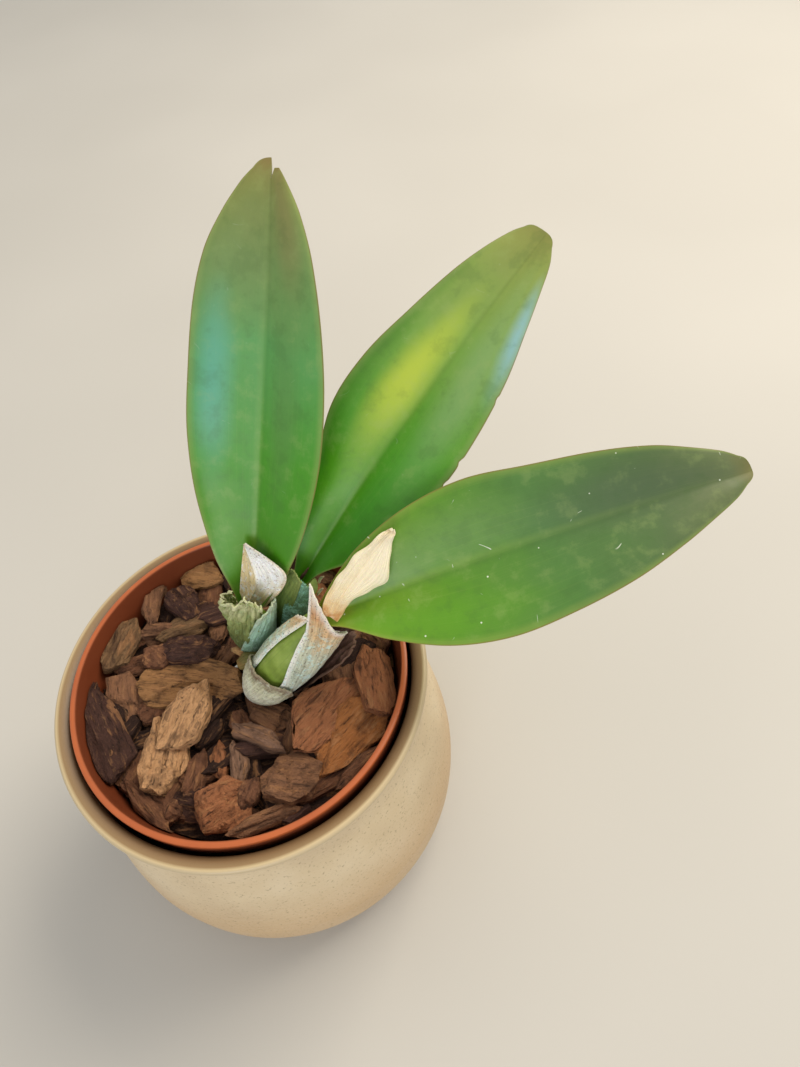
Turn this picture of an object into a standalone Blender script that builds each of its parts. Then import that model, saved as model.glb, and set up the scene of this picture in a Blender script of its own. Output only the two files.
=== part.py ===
"""A cattleya orchid without a flower: three leafy pseudobulbs with dry sheaths on a rooted rhizome, in bark
chips in a plastic grow pot, which stands in a round stoneware cachepot.

Metres, +Z up, the cachepot's flat foot on Z = 0."""

import math
import random

import bmesh
import bpy
from mathutils import Matrix, Vector

MM = 0.001
GAP = 0.3  # between pieces that touch on the real thing

# Cachepot, in millimetres: radius and height of each turn of its wall
CACHE_HEIGHT = 112.0
CACHE_FOOT_RADIUS = 57.0
CACHE_BELLY_RADIUS = 73.0
CACHE_BELLY_HEIGHT = 32.0
CACHE_NECK_RADIUS = 63.6
CACHE_NECK_HEIGHT = 99.0
CACHE_LIP_RADIUS = 66.6
CACHE_WALL = 4.5
CACHE_THROAT_RADIUS = 60.95
CACHE_FLOOR = 7.0
BELLY_TURNS = 6
POT_SIDES = 48

# Grow pot
GROW_RIM_RADIUS = 60.0
GROW_TOP = 114.2
GROW_BASE_RADIUS = 43.0
GROW_WALL = 1.2
GROW_RIM_BAND = 9.0
GROW_RIM_THICKNESS = 2.0
GROW_FLOOR = 1.6
GROW_FOOT = 2.0
DRAIN_HOLES = 8
DRAIN_RADIUS = 3.2
DRAIN_RING_RADIUS = 27.0
GROW_CENTRE = Vector((-0.2, 0.5, 0.0))

# Bark
BARK_TOP = 100.5
PLANTING_HOLE_CENTRE = Vector((5.5, 9.5, 0.0))
PLANTING_HOLE_RADIUS = 14.0
PLANTING_HOLE_FLOOR = 45.0
CHIP_ROOT = 3.0
CHIP_TOP_SHARE = 0.94
CHIP_CORNERS = 7
FILLER_CHIPS = 40
FILLER_REACH = 0.91  # share of the pot's inner radius
GOLDEN_ANGLE = math.radians(137.5)
STEM_ROOM_DEPTH = 5.5

# Plant
RHIZOME_RADIUS = 3.8
RHIZOME_HEIGHT = 99.5
ROOT_RADIUS = 1.4
ROOTS = 9
ROOT_SPREAD = 8.5
LEAF_EDGE = 0.9
LEAF_MIDDLE = 1.7
SHEATH = 0.7
SHEATH_CLEARANCE = 0.45

FOOT_RIGHT = Vector((2.3, -2.0, RHIZOME_HEIGHT))
FOOT_LEFT = Vector((0.6, 18.0, RHIZOME_HEIGHT))
FOOT_MIDDLE = Vector((13.5, 23.5, RHIZOME_HEIGHT))

RHIZOME_LINE = (
    Vector((-5.0, 24.0, RHIZOME_HEIGHT)),
    FOOT_LEFT,
    Vector((2.6, 8.5, RHIZOME_HEIGHT)),
    FOOT_RIGHT,
    FOOT_RIGHT + Vector((0.5, -5.0, 0.4)),
)
RHIZOME_RADII = (2.6, RHIZOME_RADIUS, 3.4, RHIZOME_RADIUS, 2.4)
BRANCH_LINE = (
    Vector((1.6, 12.5, RHIZOME_HEIGHT)),
    Vector((7.5, 18.5, RHIZOME_HEIGHT)),
    FOOT_MIDDLE,
    FOOT_MIDDLE + Vector((3.5, 1.5, 0.0)),
)
BRANCH_RADII = (2.8, 3.3, RHIZOME_RADIUS, 2.4)

# Where the bark is kept clear of the bulbs and sheaths: x, y and radius
STEM_ROOMS = (
    (3.0, -2.5, 9.5),
    (10.0, -1.8, 10.5),
    (19.0, -2.5, 7.0),
    (2.0, 17.5, 10.5),
    (15.5, 23.0, 9.0),
    (-4.0, 23.0, 5.0),
)

BLADE_STATIONS = (0.0, 0.06, 0.15, 0.28, 0.42, 0.56, 0.70, 0.82, 0.91, 0.97, 1.0)
LEAVES = {
    "leaf_left": {
        "on": "pseudobulb_left",
        "split_tip": True,
        "base": Vector((7.0, 16.8, 124.6)),
        "middle": Vector((26.2, 48.7, 187.5)),
        "tip": Vector((41.3, 89.8, 246.0)),
        "facing": Vector((-0.29, -0.78, 0.55)),
        "fold": 17.0,
        "base_fold": 48.0,
        "left": (4.0, 7.2, 14.4, 21.0, 23.9, 24.4, 23.6, 19.5, 13.2, 7.0, 1.0),
        "right": (4.0, 8.6, 15.4, 20.5, 23.4, 22.7, 19.9, 15.5, 9.9, 3.9, 1.0),
    },
    "leaf_middle": {
        "on": "pseudobulb_middle",
        "split_tip": False,
        "base": Vector((25.7, 23.8, 129.0)),
        "middle": Vector((68.4, 49.9, 178.8)),
        "tip": Vector((119.5, 78.7, 218.0)),
        "facing": Vector((-0.32, -0.62, 0.72)),
        "fold": 15.0,
        "base_fold": 48.0,
        "left": (3.4, 6.5, 12.1, 17.5, 23.5, 23.6, 20.1, 16.1, 11.9, 7.8, 1.5),
        "right": (3.4, 6.0, 14.4, 20.9, 24.8, 24.0, 20.8, 14.8, 9.9, 5.9, 1.5),
    },
    "leaf_right": {
        "on": "pseudobulb_right",
        "split_tip": False,
        "base": Vector((33.9, 2.4, 139.0)),
        "middle": Vector((99.8, 5.0, 163.0)),
        "tip": Vector((168.5, 10.3, 176.0)),
        "facing": Vector((-0.20, -0.49, 0.85)),
        "fold": 15.0,
        "base_fold": 48.0,
        "left": (4.0, 10.4, 18.5, 24.4, 26.1, 23.4, 20.5, 16.5, 11.7, 7.6, 1.5),
        "right": (4.0, 7.6, 15.7, 23.5, 26.6, 25.0, 21.0, 15.2, 9.9, 4.8, 1.5),
    },
}
FLOWER_SHEATH = {
    "base": Vector((37.0, -0.3, 142.9)),
    "middle": Vector((46.5, 7.0, 156.5)),
    "tip": Vector((61.0, 13.7, 166.4)),
    "facing": Vector((0.10, -0.70, 0.70)),
    "fold": 8.0,
    "base_fold": 30.0,
    "left": (3.0, 3.4, 4.0, 4.8, 5.4, 5.6, 5.2, 4.2, 2.8, 1.6, 0.8),
    "right": (3.0, 3.4, 4.2, 5.4, 7.0, 8.2, 7.8, 6.0, 4.2, 2.6, 0.8),
}
LEAF_ROWS = 26
LEAF_COLUMNS = 9
FOLD_LENGTH = 0.12
NOTCH_DEPTH = 6.5
NOTCH_WIDTH = 1.3

# Each bulb: its line from the rhizome to the leaf, and its radius along that line
BULBS = {
    "pseudobulb_right": {
        "line": (
            FOOT_RIGHT,
            Vector((10.0, -1.8, 109.0)),
            Vector((22.0, 0.0, 123.5)),
            Vector((33.3, 2.4, 138.4)),
        ),
        "radii": (2.8, 7.6, 7.4, 3.6),
    },
    "pseudobulb_left": {
        "line": (
            FOOT_LEFT,
            Vector((2.6, 17.6, 106.0)),
            Vector((4.8, 17.2, 115.5)),
            Vector((6.8, 16.6, 124.0)),
        ),
        "radii": (2.8, 6.6, 6.8, 3.6),
    },
    "pseudobulb_middle": {
        "line": (
            FOOT_MIDDLE,
            Vector((17.0, 24.0, 109.0)),
            Vector((21.5, 24.0, 119.5)),
            Vector((25.2, 23.7, 128.4)),
        ),
        "radii": (2.8, 6.0, 5.6, 3.2),
    },
}
# Sheaths round a bulb. Angles are in degrees from the viewer's side of the bulb, rightwards. foot and top are
# shares of the bulb's length, flare is how far the top stands off in millimetres, and horn is how far the top
# of the first edge is drawn out.
WRAPS = {
    "sheath_right_cup": {
        "on": "pseudobulb_right",
        "look": "grey",
        "from": -115,
        "to": 100,
        "layer": 1,
        "foot": (0.16, 0.15, 0.15, 0.17),
        "top": (0.5, 0.3, 0.27, 0.42),
        "flare": (0.3, 0.3, 0.3, 0.6),
    },
    "sheath_right_wrap": {
        "on": "pseudobulb_right",
        "look": "grey",
        "from": 18,
        "to": 262,
        "columns": 16,
        "horn": Vector((-3.5, 5.0, 11.0)),
        "foot": (0.22, 0.26, 0.3, 0.3, 0.3),
        "top": (1.02, 0.88, 0.84, 0.84, 0.9),
        "flare": (0.6, 5.5, 2.5, 1.0, 0.3),
    },
    "sheath_right_brown": {
        "on": "pseudobulb_right",
        "look": "brown",
        "from": 92,
        "to": 150,
        "layer": 2,
        "foot": (0.3, 0.32, 0.34),
        "top": (0.84, 0.88, 0.8),
        "flare": (6.5, 5.0, 3.0),
    },
    "sheath_left_crumpled": {
        "on": "pseudobulb_left",
        "look": "straw",
        "from": -140,
        "to": 42,
        "layer": 1,
        "keeps_width_from": 0.6,
        "foot": (0.24, 0.24, 0.24, 0.24),
        "top": (1.25, 1.32, 1.24, 0.92),
        "flare": (1.2, 1.6, 0.8, 0.3),
    },
    "sheath_left_silver": {
        "on": "pseudobulb_left",
        "look": "silver",
        "from": 26,
        "to": 100,
        "keeps_width_from": 0.7,
        "foot": (0.24, 0.24, 0.24),
        "top": (0.9, 1.08, 0.9),
        "flare": (0.2, 0.4, 0.4),
    },
    "sheath_middle": {
        "on": "pseudobulb_middle",
        "look": "olive",
        "from": -98,
        "to": 20,
        "keeps_width_from": 0.7,
        "foot": (0.25, 0.25, 0.25),
        "top": (0.98, 1.12, 0.8),
        "flare": (0.3, 0.3, 0.4),
    },
}
WRAP_ROWS = 8
PATCH_ROWS = 8
HORN_WIDTH = 0.2
PAPERY_CORNERS = (
    Vector((4.4, 12.2, 130.0)),
    Vector((10.3, 27.8, 151.2)),
    Vector((23.4, 15.9, 148.3)),
    Vector((13.0, 10.9, 130.0)),
)
OLD_SHOOT = (Vector((4.2, 7.2, 102.0)), Vector((0.2, 5.6, 104.0)), Vector((-3.8, 3.2, 104.2)))
BULB_ROWS = 13
BULB_SIDES = 14

CAMERA_SIDE = Vector((0.15, -0.72, 0.68))  # the side that faces a viewer who looks down from the front

# x, y, height of the middle above the bark's top, length, width, heading, tilt
LARGE_CHIPS = (
    (-51.5, -12.5, 5.5, 42.0, 18.0, 118.0, 10.0),
    (-23.0, -19.0, 6.0, 41.0, 21.0, 75.0, 6.0),
    (-26.0, 1.5, 2.5, 38.0, 20.0, 178.0, 4.0),
    (4.6, -22.0, 4.5, 24.0, 9.0, 150.0, 10.0),
    (28.5, -17.5, 7.0, 32.0, 20.0, 45.0, 12.0),
    (36.5, -27.5, 3.0, 27.0, 15.0, 40.0, 10.0),
    (15.6, -38.6, 4.5, 21.0, 17.0, 167.0, 9.0),
    (-6.6, -43.5, 4.0, 20.0, 18.0, 20.0, 12.0),
    (-16.5, -30.0, 2.0, 18.0, 7.0, 82.0, 20.0),
    (-3.0, -29.0, 2.0, 16.0, 7.0, 98.0, 16.0),
    (6.5, -49.0, 3.0, 22.0, 7.0, 12.0, 14.0),
    (-32.0, -40.5, 2.5, 24.0, 8.0, 130.0, 16.0),
    (42.0, -8.0, 4.0, 26.0, 18.0, 98.0, 14.0),
    (-23.0, 16.5, 4.0, 27.0, 15.0, 170.0, 8.0),
    (-24.0, 37.0, 3.0, 19.0, 14.0, 127.0, 12.0),
    (-44.0, 22.0, 3.5, 20.0, 13.0, 74.0, 15.0),
    (35.0, 4.5, 4.0, 24.0, 10.0, 62.0, 30.0),
)


def clear_scene():
    for old in list(bpy.data.objects):
        bpy.data.objects.remove(old, do_unlink=True)


def new_collection(name, hidden=False):
    made = bpy.data.collections.new(name)
    bpy.context.scene.collection.children.link(made)
    made.hide_render = hidden
    return made


def principled(name, colour, roughness):
    made = bpy.data.materials.new(name)
    made.use_nodes = True
    shader = made.node_tree.nodes["Principled BSDF"]
    shader.inputs["Base Color"].default_value = (*colour, 1.0)
    shader.inputs["Roughness"].default_value = roughness
    shader.inputs["Metallic"].default_value = 0.0
    made.diffuse_color = (*colour, 1.0)
    return made


def place(name, mesh, collection, material):
    """A mesh as an object of the collection, in its material."""
    made = bpy.data.objects.new(name, mesh)
    collection.objects.link(made)
    if material:
        mesh.materials.append(material)
    return made


def applied(thing, collection, material):
    """The object again as a plain welded mesh, with its modifiers applied."""
    graph = bpy.context.evaluated_depsgraph_get()
    mesh = bpy.data.meshes.new_from_object(thing.evaluated_get(graph))
    mesh.transform(thing.matrix_world)
    edit = bmesh.new()
    edit.from_mesh(mesh)
    bmesh.ops.remove_doubles(edit, verts=edit.verts, dist=0.00001)
    bmesh.ops.recalc_face_normals(edit, faces=edit.faces)
    edit.to_mesh(mesh)
    edit.free()
    mesh.materials.clear()
    name = thing.name
    bpy.data.objects.remove(thing, do_unlink=True)
    return place(name, mesh, collection, material)


def boolean(thing, operation, others):
    """Joins the others, a collection, to the thing, or cuts them from it."""
    change = thing.modifiers.new(operation.lower(), "BOOLEAN")
    change.operation = operation
    change.solver = "EXACT"
    change.operand_type = "COLLECTION"
    change.collection = others
    return change


def smooth(places, values, at):
    """A value read off a soft line through the values at those places."""
    last = len(places) - 1
    i = min(max(sum(1 for p in places if p <= at) - 1, 0), last - 1)
    span = places[i + 1] - places[i]
    before, after = max(i - 1, 0), min(i + 2, last)
    start = (values[i + 1] - values[before]) / (places[i + 1] - places[before])
    end = (values[after] - values[i]) / (places[after] - places[i])
    u = min(max((at - places[i]) / span, 0.0), 1.0)
    rise = values[i + 1] - values[i]
    return (
        values[i]
        + start * span * (u - 2 * u * u + u**3)
        + rise * (3 * u * u - 2 * u**3)
        + end * span * (u**3 - u * u)
    )


def on_line(points, at):
    """Place and direction on a soft line through the points, at a share of its length from 0 to 1."""
    places = [i / (len(points) - 1) for i in range(len(points))]
    where = Vector(smooth(places, [p[k] for p in points], at) for k in range(3))
    low, high = max(at - 0.02, 0.0), min(at + 0.02, 1.0)
    ahead = Vector(smooth(places, [p[k] for p in points], high) for k in range(3))
    behind = Vector(smooth(places, [p[k] for p in points], low) for k in range(3))
    return where, (ahead - behind).normalized()


def across(direction, facing):
    """Two directions square to the first: the one nearest to facing, and the one to its right."""
    up = (facing - direction * facing.dot(direction)).normalized()
    return up, direction.cross(up)


def turned(name, profile, collection, material):
    """A profile of radius and height, in millimetres, turned about Z. It starts and ends on the axis."""
    edit = bmesh.new()
    ring = [edit.verts.new((r * MM, 0.0, z * MM)) for r, z in profile]
    for a, b in zip(ring, ring[1:]):
        edit.edges.new((a, b))
    mesh = bpy.data.meshes.new(name)
    edit.to_mesh(mesh)
    edit.free()
    made = place(name, mesh, collection, material)
    screw = made.modifiers.new("turn", "SCREW")
    screw.axis = "Z"
    screw.steps = screw.render_steps = POT_SIDES
    screw.use_merge_vertices = True
    screw.merge_threshold = 0.00001
    screw.use_normal_calculate = True
    return made


def sheet(name, upper, lower, collection, material):
    """A closed thin body between two grids of points, with the same triangles on both sides."""
    rows, columns = len(upper), len(upper[0])
    edit = bmesh.new()
    top = [[edit.verts.new(p * MM) for p in row] for row in upper]
    under = [[edit.verts.new(p * MM) for p in row] for row in lower]
    for i in range(rows - 1):
        for j in range(columns - 1):
            for grid, turn in ((top, 1), (under, -1)):
                a, b, c, d = grid[i][j], grid[i + 1][j], grid[i + 1][j + 1], grid[i][j + 1]
                edit.faces.new((a, b, c)[::turn])
                edit.faces.new((a, c, d)[::turn])
    border = [(i, 0) for i in range(rows)]
    border += [(rows - 1, j) for j in range(1, columns)]
    border += [(i, columns - 1) for i in range(rows - 2, -1, -1)]
    border += [(0, j) for j in range(columns - 2, 0, -1)]
    for here, there in zip(border, border[1:] + border[:1]):
        a, b = top[here[0]][here[1]], top[there[0]][there[1]]
        c, d = under[there[0]][there[1]], under[here[0]][here[1]]
        edit.faces.new((a, d, c, b))
    bmesh.ops.recalc_face_normals(edit, faces=edit.faces)
    mesh = bpy.data.meshes.new(name)
    edit.to_mesh(mesh)
    edit.free()
    return place(name, mesh, collection, material)


def rope(name, points, radii, sides, rows, collection, material):
    """A round body along a soft line through the points, closed at both ends, its radius read off the radii."""
    places = [i / (len(points) - 1) for i in range(len(points))]
    data = bpy.data.curves.new(name, "CURVE")
    data.dimensions = "3D"
    data.bevel_depth = MM
    data.bevel_resolution = max(sides // 2 - 2, 1)
    data.use_fill_caps = True
    line = data.splines.new("POLY")
    line.points.add(rows - 1)
    for i, point in enumerate(line.points):
        at = i / (rows - 1)
        where, _ = on_line(points, at)
        point.co = (*(where * MM), 1.0)
        point.radius = smooth(places, radii, at)
    made = bpy.data.objects.new(name, data)
    collection.objects.link(made)
    bpy.context.view_layer.update()
    return applied(made, collection, material)


def cylinder(name, radius, bottom, top, centre, sides, collection):
    """An upright cylinder between two heights, in millimetres."""
    edit = bmesh.new()
    wide, tall = radius * MM, (top - bottom) * MM
    bmesh.ops.create_cone(edit, cap_ends=True, segments=sides, radius1=wide, radius2=wide, depth=tall)
    mesh = bpy.data.meshes.new(name)
    edit.to_mesh(mesh)
    edit.free()
    made = place(name, mesh, collection, None)
    made.location = (centre + Vector((0.0, 0.0, (bottom + top) / 2))) * MM
    return made


def make_cachepot(parts, material):
    flat = CACHE_FOOT_RADIUS - 6.0
    profile = [(0.0, CACHE_FLOOR), (flat, CACHE_FLOOR)]
    reach = CACHE_BELLY_RADIUS - CACHE_WALL - flat
    rise = CACHE_BELLY_HEIGHT + 4.0 - CACHE_FLOOR
    for i in range(1, BELLY_TURNS + 1):
        angle = i / BELLY_TURNS * math.pi / 2
        profile.append((flat + reach * math.sin(angle), CACHE_FLOOR + rise * (1 - math.cos(angle))))
    profile += [
        (CACHE_BELLY_RADIUS - CACHE_WALL - 2.5, 60.0),
        (CACHE_NECK_RADIUS - 0.9, 80.0),
        (CACHE_THROAT_RADIUS - 0.5, 95.0),
        (CACHE_THROAT_RADIUS, 102.0),
        (CACHE_THROAT_RADIUS, CACHE_HEIGHT - 2.2),
        (CACHE_THROAT_RADIUS + 0.5, CACHE_HEIGHT - 1.3),
        (CACHE_THROAT_RADIUS + 3.0, CACHE_HEIGHT - 0.5),
        (CACHE_LIP_RADIUS - 1.1, CACHE_HEIGHT),
        (CACHE_LIP_RADIUS - 0.2, CACHE_HEIGHT - 0.5),
        (CACHE_LIP_RADIUS, CACHE_HEIGHT - 1.6),
        (CACHE_LIP_RADIUS - 0.4, CACHE_HEIGHT - 3.2),
        (CACHE_NECK_RADIUS + 1.0, CACHE_HEIGHT - 8.0),
        (CACHE_NECK_RADIUS, CACHE_NECK_HEIGHT),
        (CACHE_NECK_RADIUS + 1.0, 90.0),
        (CACHE_NECK_RADIUS + 4.6, 76.0),
        (CACHE_BELLY_RADIUS - 2.6, 58.0),
        (CACHE_BELLY_RADIUS - 0.5, 44.0),
    ]
    bulge = CACHE_BELLY_RADIUS - CACHE_FOOT_RADIUS
    for i in range(BELLY_TURNS, -1, -1):
        angle = i / BELLY_TURNS * math.pi / 2
        radius = CACHE_FOOT_RADIUS + bulge * math.sin(angle) ** 0.75
        profile.append((radius, CACHE_BELLY_HEIGHT * (1 - math.cos(angle))))
    profile.append((0.0, 0.0))
    return turned("cachepot", profile, parts, material)


def grow_inner_radius(z):
    """Inner radius of the grow pot's tapering wall at a height."""
    foot = CACHE_FLOOR + GAP
    top = GROW_TOP - GROW_RIM_BAND
    share = (z - foot) / (top - foot)
    return GROW_BASE_RADIUS + (GROW_RIM_RADIUS - 3.2 - GROW_BASE_RADIUS) * min(share, 1.0) - GROW_WALL


def make_grow_pot(parts, material):
    foot = CACHE_FLOOR + GAP
    floor = foot + GROW_FOOT + GROW_FLOOR
    band = GROW_TOP - GROW_RIM_BAND
    wall_top = GROW_RIM_RADIUS - 3.2
    profile = [
        (0.0, floor),
        (grow_inner_radius(floor), floor),
        (grow_inner_radius(band), band),
        (GROW_RIM_RADIUS - GROW_WALL - 0.9, band + 2.0),
        (GROW_RIM_RADIUS - GROW_RIM_THICKNESS, GROW_TOP - 2.2),
        (GROW_RIM_RADIUS - GROW_RIM_THICKNESS, GROW_TOP - 0.6),
        (GROW_RIM_RADIUS - GROW_RIM_THICKNESS + 0.5, GROW_TOP),
        (GROW_RIM_RADIUS - 0.5, GROW_TOP),
        (GROW_RIM_RADIUS, GROW_TOP - 0.6),
        (GROW_RIM_RADIUS - 0.3, band + 0.4),
        (wall_top, band - 0.4),
        (GROW_BASE_RADIUS + 0.6, foot + 1.5),
        (GROW_BASE_RADIUS - 1.0, foot),
        (GROW_BASE_RADIUS - 4.5, foot),
        (GROW_BASE_RADIUS - 5.0, foot + GROW_FOOT),
        (0.0, foot + GROW_FOOT),
    ]
    made = turned("grow_pot", profile, parts, None)
    made.location = GROW_CENTRE * MM
    bpy.context.view_layer.update()
    made = applied(made, parts, material)
    drills = new_collection("drain_drills", hidden=True)
    for i in range(DRAIN_HOLES):
        angle = i / DRAIN_HOLES * math.tau
        ring = Vector((math.cos(angle), math.sin(angle), 0.0)) * DRAIN_RING_RADIUS
        cylinder("drain_drill_%d" % i, DRAIN_RADIUS, foot - 2.0, floor + 2.0, GROW_CENTRE + ring, 10, drills)
    boolean(made, "DIFFERENCE", drills)
    made = applied(made, parts, material)
    remove_all(drills)
    return made


def remove_all(collection):
    for old in list(collection.objects):
        bpy.data.objects.remove(old, do_unlink=True)
    bpy.data.collections.remove(collection)


def chip(name, x, y, rise, length, width, heading, tilt, dice, collection):
    """A flat bark chip with an uneven outline, its top tilted and its root sunk in the core."""
    edit = bmesh.new()
    bmesh.ops.create_cone(edit, cap_ends=True, segments=CHIP_CORNERS, radius1=1.0, radius2=1.0, depth=2.0)
    reach = [dice.uniform(0.92, 1.12) for _ in range(CHIP_CORNERS)]
    turn = Matrix.Rotation(math.radians(heading), 3, "Z")
    slope = math.tan(math.radians(tilt))
    for corner in edit.verts:
        which = round(math.atan2(corner.co.y, corner.co.x) / math.tau * CHIP_CORNERS) % CHIP_CORNERS
        top = corner.co.z > 0
        size = 0.5 * reach[which] * (CHIP_TOP_SHARE if top else 1.0)
        flat = Vector((corner.co.x * length * size, corner.co.y * width * size, 0.0))
        height = BARK_TOP + (rise + flat.y * slope + dice.uniform(-0.5, 0.5) if top else -CHIP_ROOT)
        corner.co = (turn @ flat + Vector((x, y, height))) * MM
    mesh = bpy.data.meshes.new(name)
    edit.to_mesh(mesh)
    edit.free()
    return place(name, mesh, collection, None)


def make_bark(parts, material):
    """The bark mix as one body: a core that fills the pot, chips sunk in its top, and holes for the plant."""
    dice = random.Random(7)
    floor = CACHE_FLOOR + GAP + GROW_FOOT + GROW_FLOOR + GAP
    core = turned(
        "bark_mix",
        [
            (0.0, BARK_TOP),
            (grow_inner_radius(BARK_TOP) - 2 * GAP, BARK_TOP),
            (grow_inner_radius(floor) - 2 * GAP, floor),
            (0.0, floor),
        ],
        parts,
        None,
    )
    core.location = GROW_CENTRE * MM
    bpy.context.view_layer.update()
    core = applied(core, parts, None)
    chips = new_collection("bark_chips", hidden=True)
    for i, large in enumerate(LARGE_CHIPS):
        chip("large_chip_%d" % i, *large, dice, chips)
    inside = grow_inner_radius(BARK_TOP)
    for i in range(FILLER_CHIPS):
        angle = i * GOLDEN_ANGLE
        reach = inside * math.sqrt((i + 0.5) / FILLER_CHIPS) * FILLER_REACH
        x = GROW_CENTRE.x + math.cos(angle) * reach
        y = GROW_CENTRE.y + math.sin(angle) * reach
        length = dice.uniform(11.0, 19.0)
        rise = dice.uniform(2.0, 5.0)
        shape = (x, y, rise, length, length * 0.6, dice.uniform(0, 180), dice.uniform(-9, 9))
        chip("filler_chip_%d" % i, *shape, dice, chips)
    boolean(core, "UNION", chips)
    core = applied(core, parts, None)
    remove_all(chips)

    holes = new_collection("bark_cutters", hidden=True)
    above = BARK_TOP + 12.0
    cylinder("planting_hole", PLANTING_HOLE_RADIUS, PLANTING_HOLE_FLOOR, above, PLANTING_HOLE_CENTRE, 20, holes)
    for i, (x, y, radius) in enumerate(STEM_ROOMS):
        cylinder("stem_room_%d" % i, radius, BARK_TOP - STEM_ROOM_DEPTH, above, Vector((x, y, 0.0)), 14, holes)
    boolean(core, "DIFFERENCE", holes)
    core = applied(core, parts, None)
    remove_all(holes)

    trim = new_collection("bark_trim", hidden=True)
    wall = turned(
        "pot_inside",
        [
            (0.0, GROW_TOP),
            (grow_inner_radius(GROW_TOP) - GAP, GROW_TOP),
            (grow_inner_radius(GROW_TOP - GROW_RIM_BAND) - GAP, GROW_TOP - GROW_RIM_BAND),
            (grow_inner_radius(floor) - GAP, floor),
            (grow_inner_radius(floor) - GAP, floor - 5.0),
            (0.0, floor - 5.0),
        ],
        trim,
        None,
    )
    wall.location = GROW_CENTRE * MM
    bpy.context.view_layer.update()
    applied(wall, trim, None)
    boolean(core, "INTERSECT", trim)
    core = applied(core, parts, material)
    remove_all(trim)
    return core


def make_rhizome(parts, material):
    """The creeping rhizome with the roots that hang from it into the bark, as one body."""
    made = rope("rhizome_and_roots", RHIZOME_LINE, RHIZOME_RADII, 10, 15, parts, None)
    more = new_collection("rhizome_pieces", hidden=True)
    rope("branch", BRANCH_LINE, BRANCH_RADII, 10, 9, more, None)
    dice = random.Random(3)
    deepest = RHIZOME_HEIGHT - PLANTING_HOLE_FLOOR - ROOT_RADIUS - GAP
    for i in range(ROOTS):
        start = on_line(RHIZOME_LINE, 0.16 + 0.7 * i / (ROOTS - 1))[0]
        drop = deepest if i % 3 == 0 else dice.uniform(30.0, deepest - 1.0)
        out = Vector((math.cos(i * GOLDEN_ANGLE), math.sin(i * GOLDEN_ANGLE), 0.0)) * ROOT_SPREAD
        end = PLANTING_HOLE_CENTRE + out + Vector((0.0, 0.0, RHIZOME_HEIGHT - drop))
        bend = (start + end) * 0.5 + Vector((dice.uniform(-3, 3), dice.uniform(-3, 3), 0.0))
        radii = (ROOT_RADIUS * 1.15, ROOT_RADIUS, ROOT_RADIUS * 0.8)
        rope("root_%d" % i, (start, bend, end), radii, 6, 7, more, None)
    boolean(made, "UNION", more)
    made = applied(made, parts, material)
    remove_all(more)
    return made


def make_rhizome_room():
    """The rhizome and its branch, larger by the gap all round, for cutting from the pieces that stand on it."""
    room = new_collection("rhizome_room", hidden=True)
    rope("rhizome_room_main", RHIZOME_LINE, [r + GAP for r in RHIZOME_RADII], 10, 15, room, None)
    rope("rhizome_room_branch", BRANCH_LINE, [r + GAP for r in BRANCH_RADII], 10, 9, room, None)
    return room


def make_blade(name, blade, rows, columns, edge, middle_thickness, parts, material):
    """A blade folded along its midrib, from its narrow base to its tip."""
    upper, lower = [], []
    base, middle, tip = blade["base"], blade["middle"], blade["tip"]
    for i in range(rows):
        t = i / (rows - 1)
        t = t - 0.035 * math.sin(math.tau * t)  # closer rows at the tip and the base
        centre = (1 - t) ** 2 * base + 2 * t * (1 - t) * middle + t * t * tip
        direction = ((1 - t) * (middle - base) + t * (tip - middle)).normalized()
        up, side = across(direction, blade["facing"])
        fold = math.radians(blade["fold"] + (blade["base_fold"] - blade["fold"]) * math.exp(-t / FOLD_LENGTH))
        top_row, under_row = [], []
        for j in range(columns):
            u = 2.0 * j / (columns - 1) - 1.0
            width = smooth(BLADE_STATIONS, blade["right"] if u > 0 else blade["left"], t) * abs(u)
            point = centre + side * math.copysign(width * math.cos(fold), u) + up * (width * math.sin(fold))
            thick = edge + (middle_thickness - edge) * (1 - u * u) * min(1.0, 4.0 * (1.02 - t))
            lean = up if u == 0 else up * math.cos(fold) - side * math.copysign(math.sin(fold), u)
            top_row.append(point)
            under_row.append(point - lean * thick)
        upper.append(top_row)
        lower.append(under_row)
    return sheet(name, upper, lower, parts, material)


def notch(leaf, cutters):
    """The split at a leaf's tip, as a thin wedge that runs back along its midrib."""
    tip = leaf["tip"]
    direction = (leaf["tip"] - leaf["middle"]).normalized()
    up, side = across(direction, leaf["facing"])
    outline = ((-0.1, -NOTCH_DEPTH), (-0.1, 3.0), (NOTCH_WIDTH + 0.6, 3.0), (NOTCH_WIDTH, -NOTCH_DEPTH * 0.5))
    edit = bmesh.new()
    low = [edit.verts.new((tip + side * x + direction * y - up * 8.0) * MM) for x, y in outline]
    floor = edit.faces.new(low)
    lifted = bmesh.ops.extrude_face_region(edit, geom=[floor])["geom"]
    risen = [v for v in lifted if isinstance(v, bmesh.types.BMVert)]
    bmesh.ops.translate(edit, verts=risen, vec=up * 16.0 * MM)
    bmesh.ops.recalc_face_normals(edit, faces=edit.faces)
    mesh = bpy.data.meshes.new("leaf_notch")
    edit.to_mesh(mesh)
    edit.free()
    return place("leaf_notch", mesh, cutters, None)


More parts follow.
